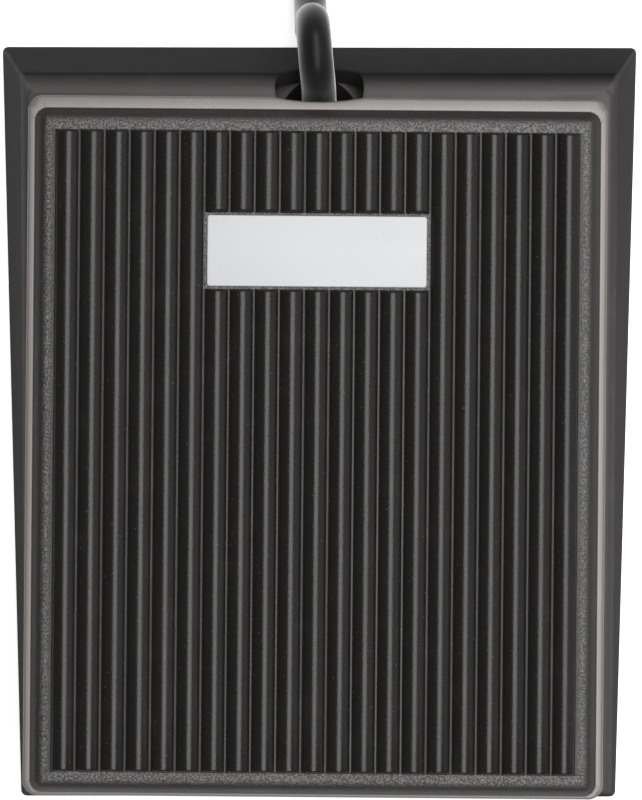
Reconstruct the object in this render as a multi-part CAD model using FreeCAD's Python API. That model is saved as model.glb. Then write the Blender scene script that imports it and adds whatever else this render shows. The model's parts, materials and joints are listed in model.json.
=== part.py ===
import FreeCAD, Part
import math
import os

# Foot pedal switch for a keyboard instrument, one solid or group of solids per piece.
# Millimetres. +X right, +Y towards the cord, +Z up, the floor at Z 0.
# The origin is on the floor at the middle of the casing's footprint.

Vector = FreeCAD.Vector
X_AXIS = Vector(1, 0, 0)
Y_AXIS = Vector(0, 1, 0)
Z_AXIS = Vector(0, 0, 1)

# Casing
base_length = 128.0
base_rear_width = 109.6
base_front_width = 99.2
base_lift = 1.0
base_wall = 2.4
deck_thickness = 2.2
side_draft_deg = 13.0
rear_draft_deg = 24.0
front_draft_deg = 3.0
side_shoulder_radius = 3.0
rear_shoulder_radius = 5.5
front_shoulder_radius = 1.0

# Treadle, in its own frame: X across, v along it to the rear, w up from its flat face
treadle_width = 93.0
treadle_length = 112.2
treadle_height = 26.6
treadle_shift = -8.0
treadle_tilt_deg = 6.6
treadle_travel_deg = 3.0
treadle_corner_radius = 2.3
treadle_edge_radius = 0.5
skirt_depth = 6.5
skirt_wall = 1.8
plate_depth = 3.2
platform_step = 1.6
platform_side_margin = 1.5
platform_rear_margin = 1.9
platform_front_margin = 1.0
platform_corner_radius = 3.0
scallop_radius = 38.0
scallop_depth = 0.7
skirt_arch_half_width = 8.0

# Grip ribs and the label's flat pad
rib_count = 21
rib_pitch = 4.0
rib_land = 0.3
rib_height = 0.95
rib_end_radius = 0.6
rib_front_margin = 4.3
rib_rear_margin = 5.7
pad_rib_count = 9
pad_front = 25.2
pad_rear = 37.4
label_length = 35.0
label_height = 11.3
label_thickness = 0.35

# Labyrinth between treadle and casing
deck_gap = 0.45
coaming_clearance = 1.0
coaming_wall = 1.6
coaming_top_gap = 0.6
coaming_rear = 40.0
inner_wall_clearance = 0.9
inner_wall = 1.6
inner_wall_depth = 10.5
inner_wall_rear = 36.0
hook_length = 12.0
hook_reach = 2.3
hook_thickness = 2.0
hook_gap = 0.25
opening_rear_v = 54.6

# Hinge
hinge_y = 42.5
hinge_z = 22.5
pin_radius = 1.5
pin_clearance = 0.05
pin_head_radius = 2.6
pin_head_length = 1.0
lug_radius = 4.0
lug_width = 3.0
lug_inner_x = 18.0
ear_radius = 3.6
ear_width = 5.0
ear_side_gap = 0.5
clip_radius = 3.2
clip_thickness = 0.6
clip_gap = 0.1
pin_tail = 1.0

# Bottom plate, its screws and feet
plate_drop = 0.4
plate_thickness = 1.5
plate_clearance = 0.25
screw_shank_radius = 1.2
screw_head_radius = 2.3
screw_length = 7.0
screw_clearance = 0.05
screw_slot = 0.7
screw_edge = 3.2
screw_front_y = -48.0
screw_rear_y = 34.0
boss_radius = 2.4
foot_radius = 6.5
foot_edge = 0.5
foot_stem_radius = 2.4
foot_head_radius = 3.2
foot_head_height = 1.1
foot_front_y = -48.0
foot_rear_y = 50.0
foot_front_x = 35.0
foot_rear_x = 37.0

# Springs and stops
spring_x = 24.0
spring_y = -12.0
spring_radius = 4.0
spring_wire = 1.0
spring_turns = 6.0
spring_gap = 0.2
spigot_clearance = 0.4
spigot_length = 4.0
seat_height = 2.0
bumper_x = 30.0
bumper_y = -40.0
bumper_radius = 4.0
bumper_stem_radius = 1.8
bumper_gap = 0.3

# Microswitch
switch_length = 19.8
switch_width = 6.4
switch_height = 10.2
switch_rear_y = 7.8
switch_lift = 1.1
switch_hole_spacing = 9.5
switch_hole_radius = 1.2
switch_hole_height = 2.9
switch_screw_clearance = 0.05
switch_screw_head_radius = 2.1
switch_screw_head_length = 1.2
lever_pivot_inset = 1.8
lever_pivot_lift = 0.9
lever_pin_radius = 0.6
lever_length = 17.2
lever_width = 4.0
lever_thickness = 0.4
lever_rise_deg = 10.5
lever_lug_width = 0.8
button_radius = 0.9
button_clearance = 0.08
button_distance = 5.5
button_gap = 0.1
button_length = 3.5
button_well = 1.2
actuator_distance = 15.2
actuator_gap = 0.3
actuator_radius = 2.0
actuator_width = 5.0
terminal_length = 5.0
terminal_width = 3.2
terminal_thickness = 0.5
terminal_low = 2.0
terminal_high = 6.0
bracket_thickness = 1.0
bracket_foot = 11.0
bracket_height = 8.5
bracket_screw_x = -10.0
bracket_screw_radius = 1.2
bracket_screw_head_radius = 2.2
bracket_screw_head_height = 1.3
bracket_screw_spacing = 11.0

# Cord and what holds it
cord_diameter = 5.6
cord_exit_deg = 50.0
cord_exit = Vector(0, 46.3, 20.6)
cord_direction = Vector(0, math.cos(math.radians(cord_exit_deg)), math.sin(math.radians(cord_exit_deg)))
cord_first_run = 6.0
notch_radius = 7.2
bush_radius = 4.4
bush_length = 11.0
bush_collar_radius = 5.6
bush_collar_length = 1.6
bush_clearance = 0.05
block_half_width = 7.6
block_front = 38.5
block_low = 10.0
block_high = 18.8
tail_rest = 6.0
tail_end_y = 21.0
clamp_front_y = 22.6
clamp_length = 4.2
clamp_width = 22.0
clamp_roof = 2.0
clamp_ear = 2.4
clamp_clearance = 0.05
wire_radius = 0.65
wire_spread = 1.2

# The free cord's route, points chosen along the way it lies
floor_height = 2.85
coil_height = 3.75
cord_route = [
    cord_exit,
    cord_exit + cord_direction * cord_first_run,
    Vector(-0.3, 51.2, 31.1),
    Vector(-0.6, 56.05, 33.9),
    Vector(-0.9, 61.3, 32.0),
    Vector(-1.1, 63.6, 25.2),
    Vector(-1.3, 66.4, 14.0),
    Vector(-1.5, 76.0, 4.6),
    Vector(-1.8, 90.0, floor_height),
    Vector(-3.0, 101.0, floor_height),
    Vector(-3.2, 110.3, coil_height),
    Vector(-3.2, 116.9, coil_height),
]
coil_start = Vector(-3.2, 122.5, coil_height)
coil_outer_radius = 43.7
coil_turns = 3.5
coil_step = 6.05
coil_layer = 6.05
coil_dip = 1.3
end_route = [
    Vector(84.2, 116.9, 9.8),
    Vector(84.2, 107.0, 9.8),
    Vector(84.9, 96.5, 7.0),
    Vector(84.9, 88.0, 7.0),
]
tie_width = 6.0
tie_thickness = 0.7
tie_clearance = 0.15
tie_angle_deg = 60.0

# Plug
relief_length = 16.0
relief_tip_radius = 4.2
grip_length = 34.0
grip_radius = 6.4
grip_waist = 0.6
grip_ring_count = 6
plug_radius = 3.175
plug_sleeve_length = 22.5
plug_collar_radius = 4.6
plug_collar_length = 1.6
plug_insulator_length = 1.4
plug_insulator_radius = 3.0
plug_tip_length = 6.6
plug_tip_neck_radius = 1.9
plug_core_radius = 1.4


def tangent(degrees):
    return math.tan(math.radians(degrees))


def sine(degrees):
    return math.sin(math.radians(degrees))


def cosine(degrees):
    return math.cos(math.radians(degrees))


# Values that follow from the sizes above
half_length = base_length / 2
side_taper = (base_rear_width - base_front_width) / 2 / base_length
deck_tilt_deg = treadle_tilt_deg + treadle_travel_deg
plate_bottom = base_lift + plate_drop
plate_top = plate_bottom + plate_thickness
deck_w = -(skirt_depth + deck_gap)
hinge_point = Vector(0, hinge_y, hinge_z)
skirt_half_width = treadle_width / 2
skirt_half_length = treadle_length / 2
coaming_half_width = skirt_half_width - skirt_wall - coaming_clearance
coaming_front = -skirt_half_length + skirt_wall + coaming_clearance
opening_half_width = coaming_half_width - coaming_wall
opening_front = coaming_front + coaming_wall
inner_half_width = opening_half_width - inner_wall_clearance
inner_front = opening_front + inner_wall_clearance
switch_front_y = switch_rear_y - switch_length
switch_bottom = plate_top + switch_lift
switch_top = switch_bottom + switch_height
lever_pivot = Vector(0, switch_rear_y - lever_pivot_inset, switch_top + lever_pivot_lift)
cord_radius = cord_diameter / 2
coil_inner_radius = coil_outer_radius - coil_turns * coil_step
coil_centre = coil_start + Vector(coil_outer_radius, 0, 0)


def box(x0, x1, y0, y1, z0, z1):
    """Return a block between two corners."""
    return Part.makeBox(x1 - x0, y1 - y0, z1 - z0, Vector(x0, y0, z0))


def rod(radius, start, end):
    """Return a cylinder from one point to another."""
    return Part.makeCylinder(radius, (end - start).Length, start, end - start)


def mirrored(shape):
    """Return the shape on the other side of the middle plane."""
    return shape.mirror(Vector(0, 0, 0), X_AXIS)


def both_sides(shape):
    """Return the shape and its mirror image as a group."""
    return Part.makeCompound([shape, mirrored(shape)])


def face_of(points):
    """Return a flat face with straight edges through the points."""
    return Part.Face(Part.makePolygon(points + [points[0]]))


def solid_of(points, axis, distance):
    """Extrude a polygon of points along an axis, half to each side."""
    face = face_of([point - axis * (distance / 2) for point in points])
    return face.extrude(axis * distance)


def rounded_box(half_x, v0, v1, w0, w1, corner, top_edge):
    """Return a block with rounded upright corners and a rounded top edge."""
    block = box(-half_x, half_x, v0, v1, w0, w1)
    upright = [edge for edge in block.Edges if abs(edge.tangentAt(edge.FirstParameter).z) > 0.9]
    block = block.makeFillet(corner, upright)
    if top_edge > 0:
        rim = [edge for edge in block.Edges
               if abs(edge.BoundBox.ZMin - w1) < 1e-6 and abs(edge.BoundBox.ZMax - w1) < 1e-6]
        block = block.makeFillet(top_edge, rim)
    return block


def on_treadle(shape):
    """Carry a shape from the treadle's frame to its place at rest."""
    placed = shape.copy()
    placed.rotate(Vector(0, 0, 0), X_AXIS, treadle_tilt_deg)
    placed.translate(Vector(0, treadle_shift, treadle_height))
    return placed


def on_pressed_treadle(shape):
    """Carry a shape from the treadle's frame to its place when fully pressed."""
    placed = on_treadle(shape)
    placed.rotate(hinge_point, X_AXIS, treadle_travel_deg)
    return placed


def treadle_point(v, w):
    """Return the place at rest of a point on the treadle's middle plane."""
    y = v * cosine(treadle_tilt_deg) - w * sine(treadle_tilt_deg)
    z = v * sine(treadle_tilt_deg) + w * cosine(treadle_tilt_deg)
    return Vector(0, treadle_shift + y, treadle_height + z)


def pressed_point(v, w):
    """Return the place, fully pressed, of a point on the treadle's middle plane."""
    arm = treadle_point(v, w) - hinge_point
    y = arm.y * cosine(treadle_travel_deg) - arm.z * sine(treadle_travel_deg)
    z = arm.y * sine(treadle_travel_deg) + arm.z * cosine(treadle_travel_deg)
    return hinge_point + Vector(0, y, z)


def treadle_frame(point):
    """Return v and w, in the treadle's frame, of a point at rest."""
    y = point.y - treadle_shift
    z = point.z - treadle_height
    v = y * cosine(treadle_tilt_deg) + z * sine(treadle_tilt_deg)
    w = z * cosine(treadle_tilt_deg) - y * sine(treadle_tilt_deg)
    return v, w


def roof_height(y):
    """Return the height at rest of the treadle's underside above a place."""
    foot = treadle_point(0, -plate_depth)
    return foot.z + (y - foot.y) * tangent(treadle_tilt_deg)


def pressed_roof_height(y):
    """Return the height of the pressed treadle's underside above a place."""
    foot = pressed_point(0, -plate_depth)
    return foot.z + (y - foot.y) * tangent(deck_tilt_deg)


def deck_height(y):
    """Return the height of the casing's sloping deck at a place."""
    foot = pressed_point(0, deck_w)
    return foot.z + (y - foot.y) * tangent(deck_tilt_deg)


def wall_half_width(y, z, inset):
    """Return half the casing's width at a place, less a wall measured square to it."""
    outer = base_front_width / 2 + side_taper * (y + half_length)
    return outer - tangent(side_draft_deg) * (z - base_lift) - inset / cosine(side_draft_deg)


def profile_prism(inset, deck_drop, low, radius_rear, radius_front):
    """Return the casing's side profile, drawn in Y and Z, as wide as its floor and more."""
    rear_slope = tangent(rear_draft_deg)
    front_slope = tangent(front_draft_deg)
    rear_y = half_length - inset / cosine(rear_draft_deg)
    front_y = -half_length + inset / cosine(front_draft_deg)
    level = deck_height(0) - deck_drop
    slope = tangent(deck_tilt_deg)
    top_rear_y = (rear_y - rear_slope * (level - base_lift)) / (1 + rear_slope * slope)
    top_front_y = (front_y + front_slope * (level - base_lift)) / (1 - front_slope * slope)
    points = [
        Vector(0, rear_y - rear_slope * (low - base_lift), low),
        Vector(0, top_rear_y, level + slope * top_rear_y),
        Vector(0, top_front_y, level + slope * top_front_y),
        Vector(0, front_y + front_slope * (low - base_lift), low),
    ]
    prism = solid_of(points, X_AXIS, base_rear_width * 1.5)
    for radius, corner in ((radius_rear, points[1]), (radius_front, points[2])):
        if radius > 0:
            edges = [edge for edge in prism.Edges
                     if abs(edge.tangentAt(edge.FirstParameter).x) > 0.9
                     and abs(edge.Vertexes[0].Point.y - corner.y) < 1e-6
                     and abs(edge.Vertexes[0].Point.z - corner.z) < 1e-6]
            prism = prism.makeFillet(radius, edges)
    return prism


def side_prism(inset, deck_drop, low, radius):
    """Return a block between the casing's two side walls and its deck, longer than the casing."""
    reach = half_length * 1.3
    right = []
    for y in (-reach, reach):
        high = deck_height(y) - deck_drop
        right.append(Vector(wall_half_width(y, low, inset), y, low))
        right.append(Vector(wall_half_width(y, high, inset), y, high))
    front_low, front_high, rear_low, rear_high = right
    left = [Vector(-point.x, point.y, point.z) for point in right]
    left_front_low, left_front_high, left_rear_low, left_rear_high = left
    faces = [
        face_of([front_low, rear_low, rear_high, front_high]),
        face_of([left_front_low, left_front_high, left_rear_high, left_rear_low]),
        face_of([front_low, front_high, left_front_high, left_front_low]),
        face_of([rear_low, left_rear_low, left_rear_high, rear_high]),
        face_of([front_high, rear_high, left_rear_high, left_front_high]),
        face_of([front_low, left_front_low, left_rear_low, rear_low]),
    ]
    block = Part.makeSolid(Part.makeShell(faces))
    middle_height = deck_height(0) - deck_drop
    if radius > 0:
        edges = [edge for edge in block.Edges
                 if edge.Length > reach
                 and abs(edge.CenterOfMass.z - middle_height) < 1e-3
                 and abs(edge.tangentAt(edge.FirstParameter).x) < 0.5]
        block = block.makeFillet(radius, edges)
    return block


def casing_form(inset, deck_drop, low, rounded):
    """Return the casing's closed form, inset by a wall, with or without round shoulders."""
    rear_radius = rear_shoulder_radius if rounded else 0
    front_radius = front_shoulder_radius if rounded else 0
    side_radius = side_shoulder_radius if rounded else 0
    profile = profile_prism(inset, deck_drop, low, rear_radius, front_radius)
    return profile.common(side_prism(inset, deck_drop, low, side_radius)).Solids[0]


def tube(points, radius):
    """Return a round tube along straight runs joined by arcs, with its length and least arc."""
    edges = []
    start = points[0]
    length = 0.0
    least = math.inf
    for before, corner, after in zip(points, points[1:], points[2:]):
        way_in = (corner - before).normalize()
        way_out = (after - corner).normalize()
        turn = way_in.getAngle(way_out)
        reach = 0.45 * min((corner - before).Length, (after - corner).Length)
        bend = reach / math.tan(turn / 2)
        least = min(least, bend)
        arc_start = corner - way_in * reach
        arc_end = corner + way_out * reach
        inward = (way_out - way_in).normalize()
        middle = corner + inward * (bend / math.cos(turn / 2) - bend)
        edges.append(Part.LineSegment(start, arc_start).toShape())
        edges.append(Part.Arc(arc_start, middle, arc_end).toShape())
        length += (arc_start - start).Length + bend * turn
        start = arc_end
    edges.append(Part.LineSegment(start, points[-1]).toShape())
    length += (points[-1] - start).Length
    return sweep(edges, radius, points[0], points[1] - points[0]), length, least


def sweep(edges, radius, start, direction):
    """Return the solid of a circle carried along joined edges."""
    profile = Part.Wire([Part.makeCircle(radius, start, direction)])
    return Part.Wire(edges).makePipeShell([profile], True, False)


def arc_from(start, direction, end):
    """Return the arc that leaves a point in a direction and reaches another."""
    chord = end - start
    along = Vector(direction).normalize()
    angle = along.getAngle(chord)
    bulge = along - Vector(chord).normalize() * math.cos(angle)
    bulge.normalize()
    middle = start + chord * 0.5 + bulge * (chord.Length / 2 * math.tan(angle / 2))
    return Part.Arc(start, middle, end).toShape()


def biarc(start, way_in, end, way_out):
    """Return two arcs that join two points with given directions, sharing one direction."""
    chord = end - start
    total = way_in + way_out
    spread = 2 * (1 - way_in.dot(way_out))
    along = chord.dot(total)
    reach = (-along + math.sqrt(along * along + spread * chord.dot(chord))) / spread
    middle = (start + end + (way_in - way_out) * reach) * 0.5
    first = arc_from(start, way_in, middle)
    second = arc_from(end, way_out * -1, middle)
    return [first, second]


def coil_point(turns):
    """Return the coil's centre line and direction after a number of turns.

    It winds in over the lower layer, climbs one layer in the half turn where it reverses,
    and winds out over the upper layer.
    """
    rate = coil_step / (2 * math.pi)
    back = turns - coil_turns
    if back <= 0:
        radius = coil_outer_radius - coil_step * turns
        slope = -rate
        height = 0.0
    elif back < 0.5:
        phase = 2 * math.pi * back
        radius = coil_inner_radius - coil_dip * math.sin(phase)
        slope = -coil_dip * math.cos(phase)
        height = coil_layer * (1 - math.cos(phase)) / 2
    else:
        radius = coil_inner_radius + coil_step * (back - 0.5)
        slope = rate
        height = coil_layer
    climb = coil_layer / 2 * math.sin(2 * math.pi * back) if 0 < back < 0.5 else 0.0
    if turns == 0 or turns == 2 * coil_turns + 0.5:
        slope = 0.0
    angle = math.pi - 2 * math.pi * turns
    outward = Vector(math.cos(angle), math.sin(angle), 0)
    forward = Vector(math.sin(angle), -math.cos(angle), 0)
    point = coil_centre + outward * radius + Vector(0, 0, height)
    way = forward * radius + outward * slope + Vector(0, 0, climb)
    return point, way.normalize()


def coil_solid():
    """Return the coil as one unbroken tube, and print its length and its gap to itself."""
    quarters = round((2 * coil_turns + 0.5) * 4)
    nodes = [coil_point(k / 4) for k in range(quarters + 1)]
    first_point, first_way = nodes[0]
    last_point, last_way = nodes[-1]
    entry = first_point - first_way * cord_diameter
    leave = last_point + last_way * cord_diameter
    edges = [Part.LineSegment(entry, first_point).toShape()]
    for (start, way_in), (end, way_out) in zip(nodes, nodes[1:]):
        edges += biarc(start, way_in, end, way_out)
    edges.append(Part.LineSegment(last_point, leave).toShape())
    length = sum(edge.Length for edge in edges)
    gap = least_gap(edges)
    print("coil: centre line", round(length, 1), "mm, least gap to itself", round(gap, 2), "mm")
    return sweep(edges, cord_radius, entry, first_way), length, leave


def least_gap(edges):
    """Return the least clear distance between stretches of the coil a third of a turn apart or more."""
    samples = []
    travelled = 0.0
    for edge in edges:
        steps = 12
        for k in range(steps):
            samples.append((travelled + edge.Length * k / steps, edge.valueAt(
                edge.FirstParameter + (edge.LastParameter - edge.FirstParameter) * k / steps)))
        travelled += edge.Length
    least = math.inf
    apart = coil_inner_radius * 2
    for index, (way, point) in enumerate(samples):
        for other_way, other in samples[index + 1:]:
            if other_way - way > apart:
                least = min(least, (other - point).Length)
    return least - cord_diameter


def report_tube(name, solid, radius, length, least):
    """Print a tube's length, least arc and how its volume compares with section times length."""
    ratio = solid.Volume / (math.pi * radius * radius * length)
    print(name, "centre line", round(length, 1), "mm, least arc", round(least, 1),
          "mm, volume ratio", round(ratio, 4))


def recessed_screw(shank_radius, head_radius, head_length, length, slot):
    """Return a countersunk screw that points up, its head's face at the origin, with a cross slot."""
    head = Part.makeCone(head_radius, shank_radius, head_length)
    shank = Part.makeCylinder(shank_radius, length, Vector(0, 0, 0))
    screw = head.fuse(shank)
    arm = head_radius * 0.6
    cross = box(-arm, arm, -slot / 2, slot / 2, -0.1, slot)
    cross = cross.fuse(box(-slot / 2, slot / 2, -arm, arm, -0.1, slot))
    return screw.cut(cross).removeSplitter()


def pan_screw(shank_radius, head_radius, head_height, length, slot):
    """Return a pan-head screw that points down, its head's seat at the origin, with a cross slot."""
    head = Part.makeCylinder(head_radius, head_height)
    rim = [edge for edge in head.Edges
           if abs(edge.BoundBox.ZMin - head_height) < 1e-6]
    head = head.makeFillet(head_height * 0.45, rim)
    screw = head.fuse(Part.makeCylinder(shank_radius, length, Vector(0, 0, -length)))
    arm = head_radius * 0.6
    top = head_height + 0.1
    cross = box(-arm, arm, -slot / 2, slot / 2, top - slot, top)
    cross = cross.fuse(box(-slot / 2, slot / 2, -arm, arm, top - slot, top))
    return screw.cut(cross).removeSplitter()


def screw_places():
    """Return where the four bottom screws stand, on the right side and the left."""
    places = []
    for y in (screw_front_y, screw_rear_y):
        x = wall_half_width(y, plate_top, base_wall) - screw_edge
        places += [Vector(x, y, 0), Vector(-x, y, 0)]
    return places


def foot_places():
    """Return where the four rubber feet stand."""
    places = []
    for x, y in ((foot_front_x, foot_front_y), (foot_rear_x, foot_rear_y)):
        places += [Vector(x, y, 0), Vector(-x, y, 0)]
    return places


def bracket_screw_places():
    """Return where the bracket's two screws stand."""
    middle = (switch_front_y + switch_rear_y) / 2
    return [Vector(bracket_screw_x, middle + side * bracket_screw_spacing / 2, 0) for side in (-1, 1)]


def clamp_screw_places():
    """Return where the cord clamp's two screws stand."""
    x = clamp_width / 2 - screw_head_radius - 0.6
    y = clamp_front_y + clamp_length / 2
    return [Vector(x, y, 0), Vector(-x, y, 0)]


def bumper_places():
    """Return where the two stop bumpers stand."""
    return [Vector(bumper_x, bumper_y, 0), Vector(-bumper_x, bumper_y, 0)]


def rib_bars(indices):
    """Return the domed bars of some ribs, in the treadle's frame, longer than the field."""
    half = (rib_pitch - rib_land) / 2
    bars = []
    for index in indices:
        x = (index - (rib_count - 1) / 2) * rib_pitch
        v = -skirt_half_length
        low = -platform_step / 2
        dome = Part.Arc(Vector(x - half, v, 0), Vector(x, v, rib_height), Vector(x + half, v, 0)).toShape()
        floor = Part.makePolygon([Vector(x + half, v, 0), Vector(x + half, v, low),
                                  Vector(x - half, v, low), Vector(x - half, v, 0)])
        bar = Part.Face(Part.Wire([dome] + floor.Edges)).extrude(Y_AXIS * treadle_length)
        bars.append(bar)
    return Part.makeCompound(bars)


def rib_field(v0, v1):
    """Return the block that ends the ribs at both ends with a rounded nose."""
    low = -platform_step / 2
    r = rib_end_radius
    top = rib_height + 0.05
    x = -skirt_half_width
    nose = r * (1 - math.sqrt(0.5))
    front = Part.Arc(Vector(x, v0, top - r), Vector(x, v0 + nose, top - nose), Vector(x, v0 + r, top))
    rear = Part.Arc(Vector(x, v1 - r, top), Vector(x, v1 - nose, top - nose), Vector(x, v1, top - r))
    edges = [
        Part.LineSegment(Vector(x, v0, low), Vector(x, v0, top - r)).toShape(),
        front.toShape(),
        Part.LineSegment(Vector(x, v0 + r, top), Vector(x, v1 - r, top)).toShape(),
        rear.toShape(),
        Part.LineSegment(Vector(x, v1, top - r), Vector(x, v1, low)).toShape(),
        Part.LineSegment(Vector(x, v1, low), Vector(x, v0, low)).toShape(),
    ]
    return Part.Face(Part.Wire(edges)).extrude(X_AXIS * treadle_width)


def ribs():
    """Return all grip ribs, the middle ones interrupted by the label's pad."""
    front = -skirt_half_length + rib_front_margin
    rear = skirt_half_length - rib_rear_margin
    first = (rib_count - pad_rib_count) // 2
    middle = range(first, first + pad_rib_count)
    outer = [index for index in range(rib_count) if index not in middle]
    pieces = []
    for indices, v0, v1 in ((outer, front, rear), (middle, front, pad_front), (middle, pad_rear, rear)):
        field = rib_field(v0, v1)
        pieces += [bar.common(field) for bar in rib_bars(indices).Solids]
    return pieces


def treadle_cover():
    """Return the treadle: ribbed plate, skirt, inner wall, hooks, hinge ears and switch post."""
    skirt = rounded_box(skirt_half_width, -skirt_half_length, skirt_half_length,
                        -skirt_depth, -platform_step, treadle_corner_radius, treadle_edge_radius)
    hollow = box(-skirt_half_width + skirt_wall, skirt_half_width - skirt_wall,
                 -skirt_half_length + skirt_wall, skirt_half_length - skirt_wall,
                 -skirt_depth - 1, -plate_depth)
    platform = rounded_box(skirt_half_width - platform_side_margin,
                           -skirt_half_length + platform_front_margin,
                           skirt_half_length - platform_rear_margin,
                           -platform_step - 0.5, 0, platform_corner_radius, platform_step - 0.05)
    cover = skirt.cut(hollow).fuse(platform)

    wall_outer = box(-inner_half_width, inner_half_width, inner_front, inner_wall_rear,
                     -inner_wall_depth, -plate_depth + 0.5)
    wall_inner = box(-inner_half_width + inner_wall, inner_half_width - inner_wall,
                     inner_front + inner_wall, inner_wall_rear + 1,
                     -inner_wall_depth - 1, -plate_depth)
    cover = cover.fuse(wall_outer.cut(wall_inner))

    ledge_low = treadle_frame(pressed_ledge_under())[1]
    barb_top = ledge_low - hook_length / 2 * tangent(treadle_travel_deg) - hook_gap
    hook = box(inner_half_width - inner_wall, inner_half_width, -hook_length / 2, hook_length / 2,
               barb_top - hook_thickness, -inner_wall_depth + 1)
    barb = box(inner_half_width - 0.5, inner_half_width + hook_reach, -hook_length / 2,
               hook_length / 2, barb_top - hook_thickness, barb_top)
    hook = hook.fuse(barb)
    cover = cover.fuse([hook, mirrored(hook)])

    hinge_v, hinge_w = treadle_frame(hinge_point)
    ear_x0 = lug_inner_x + lug_width + ear_side_gap
    ear_x1 = ear_x0 + ear_width
    ear = box(ear_x0, ear_x1, hinge_v - ear_radius, hinge_v + ear_radius, hinge_w, -plate_depth + 0.5)
    ear = ear.fuse(rod(ear_radius, Vector(ear_x0, hinge_v, hinge_w), Vector(ear_x1, hinge_v, hinge_w)))
    ear = ear.cut(rod(pin_radius + pin_clearance, Vector(ear_x0 - 1, hinge_v, hinge_w),
                      Vector(ear_x1 + 1, hinge_v, hinge_w)))
    cover = cover.fuse([ear, mirrored(ear)])

    tip_v, tip_w = treadle_frame(actuator_tip())
    post = box(-actuator_width / 2, actuator_width / 2, tip_v - actuator_radius, tip_v + actuator_radius,
               tip_w + actuator_radius, -plate_depth + 0.5)
    nose = rod(actuator_radius, Vector(-actuator_width / 2, tip_v, tip_w + actuator_radius),
               Vector(actuator_width / 2, tip_v, tip_w + actuator_radius))
    cover = cover.fuse([post, nose])

    arch = box(-skirt_arch_half_width, skirt_arch_half_width, skirt_half_length - skirt_wall - 0.5,
               skirt_half_length + 1, -skirt_depth - 1, -plate_depth)
    scallop_v = skirt_half_length - scallop_depth + scallop_radius
    scallop = rod(scallop_radius, Vector(0, scallop_v, -skirt_depth - 1), Vector(0, scallop_v, 0.5))
    cover = cover.cut([arch, scallop]).fuse(ribs())

    cover = on_treadle(cover)
    spigot_radius = spring_radius - spring_wire / 2 - spigot_clearance
    top = roof_height(spring_y) + 0.8
    spigot = Part.makeCylinder(spigot_radius, spigot_length + 0.8,
                               Vector(spring_x, spring_y, top - spigot_length - 0.8))
    return cover.fuse([spigot, mirrored(spigot)]).removeSplitter()


def pressed_ledge_under():
    """Return the casing ledge's underside at the hooks, on the treadle's middle plane."""
    return pressed_point(0, deck_w - deck_thickness)


def actuator_tip():
    """Return the lowest point of the treadle's switch post at rest."""
    y = lever_pivot.y - actuator_distance * cosine(lever_rise_deg)
    z = lever_pivot.z + actuator_distance * sine(lever_rise_deg) + lever_thickness / 2
    return Vector(0, y, z + actuator_gap)


def label_plate():
    """Return the thin bare label plate on its pad."""
    middle = (pad_front + pad_rear) / 2
    plate = rounded_box(label_length / 2, middle - label_height / 2, middle + label_height / 2,
                        0, label_thickness, 0.4, 0)
    return on_treadle(plate)


def hinge_lugs(outer):
    """Return the casing's four hinge lugs, each a rib off the rear wall with a round end."""
    lugs = []
    step = lug_width + 2 * ear_side_gap + ear_width
    for x in (lug_inner_x, lug_inner_x + step):
        rib = box(x, x + lug_width, hinge_y, half_length, hinge_z - lug_radius, hinge_z + 1.0)
        rib = rib.fuse(rod(lug_radius, Vector(x, hinge_y, hinge_z), Vector(x + lug_width, hinge_y, hinge_z)))
        rib = rib.common(outer)
        rib = rib.cut(rod(pin_radius + pin_clearance, Vector(x - 1, hinge_y, hinge_z),
                          Vector(x + lug_width + 1, hinge_y, hinge_z)))
        lugs += [rib, mirrored(rib)]
    return lugs


def base_housing():
    """Return the casing: sloping walls, deck with its opening and coaming, lugs and bosses."""
    outer = casing_form(0, 0, base_lift, True)
    cavity = casing_form(base_wall, deck_thickness, base_lift - 1, False)
    coaming_top = -plate_depth - coaming_top_gap
    opening = box(-opening_half_width, opening_half_width, opening_front, opening_rear_v,
                  deck_w - 3 * deck_thickness, coaming_top + 5)
    ring = box(-coaming_half_width, coaming_half_width, coaming_front, coaming_rear,
               deck_w - deck_thickness / 2, coaming_top)
    ring = ring.cut(box(-opening_half_width, opening_half_width, opening_front, coaming_rear + 1,
                        deck_w - deck_thickness, coaming_top + 1))
    housing = outer.cut(cavity).cut(on_pressed_treadle(opening)).fuse(on_pressed_treadle(ring))

    bosses = []
    for place in screw_places():
        boss = Part.makeCylinder(boss_radius, treadle_height, Vector(place.x, place.y, plate_top))
        bosses.append(boss.common(outer))
    block = box(-block_half_width, block_half_width, block_front, half_length, block_low, block_high)
    housing = housing.fuse(bosses + hinge_lugs(outer) + [block.common(outer)])

    holes = []
    for place in screw_places():
        holes.append(Part.makeCylinder(screw_shank_radius + screw_clearance, screw_length,
                                       Vector(place.x, place.y, plate_bottom)))
    inner_end = cord_exit - cord_direction * bush_length
    holes.append(rod(bush_radius + bush_clearance, inner_end - cord_direction * 8, cord_exit))
    holes.append(bush_collar(bush_clearance))
    holes.append(rod(notch_radius, cord_exit - cord_direction, cord_exit + cord_direction * 20))
    return housing.cut(holes).removeSplitter()


def bush_collar(clearance):
    """Return the collar that keeps the cord bush in the casing, larger by a clearance."""
    middle = cord_exit - cord_direction * (bush_length / 2)
    half = cord_direction * (bush_collar_length / 2 + clearance)
    return rod(bush_collar_radius + clearance, middle - half, middle + half)


def cord_bush():
    """Return the rubber bush around the cord in the casing's rear block."""
    inner_end = cord_exit - cord_direction * bush_length
    return rod(bush_radius, inner_end, cord_exit).fuse(bush_collar(0)).removeSplitter()


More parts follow.
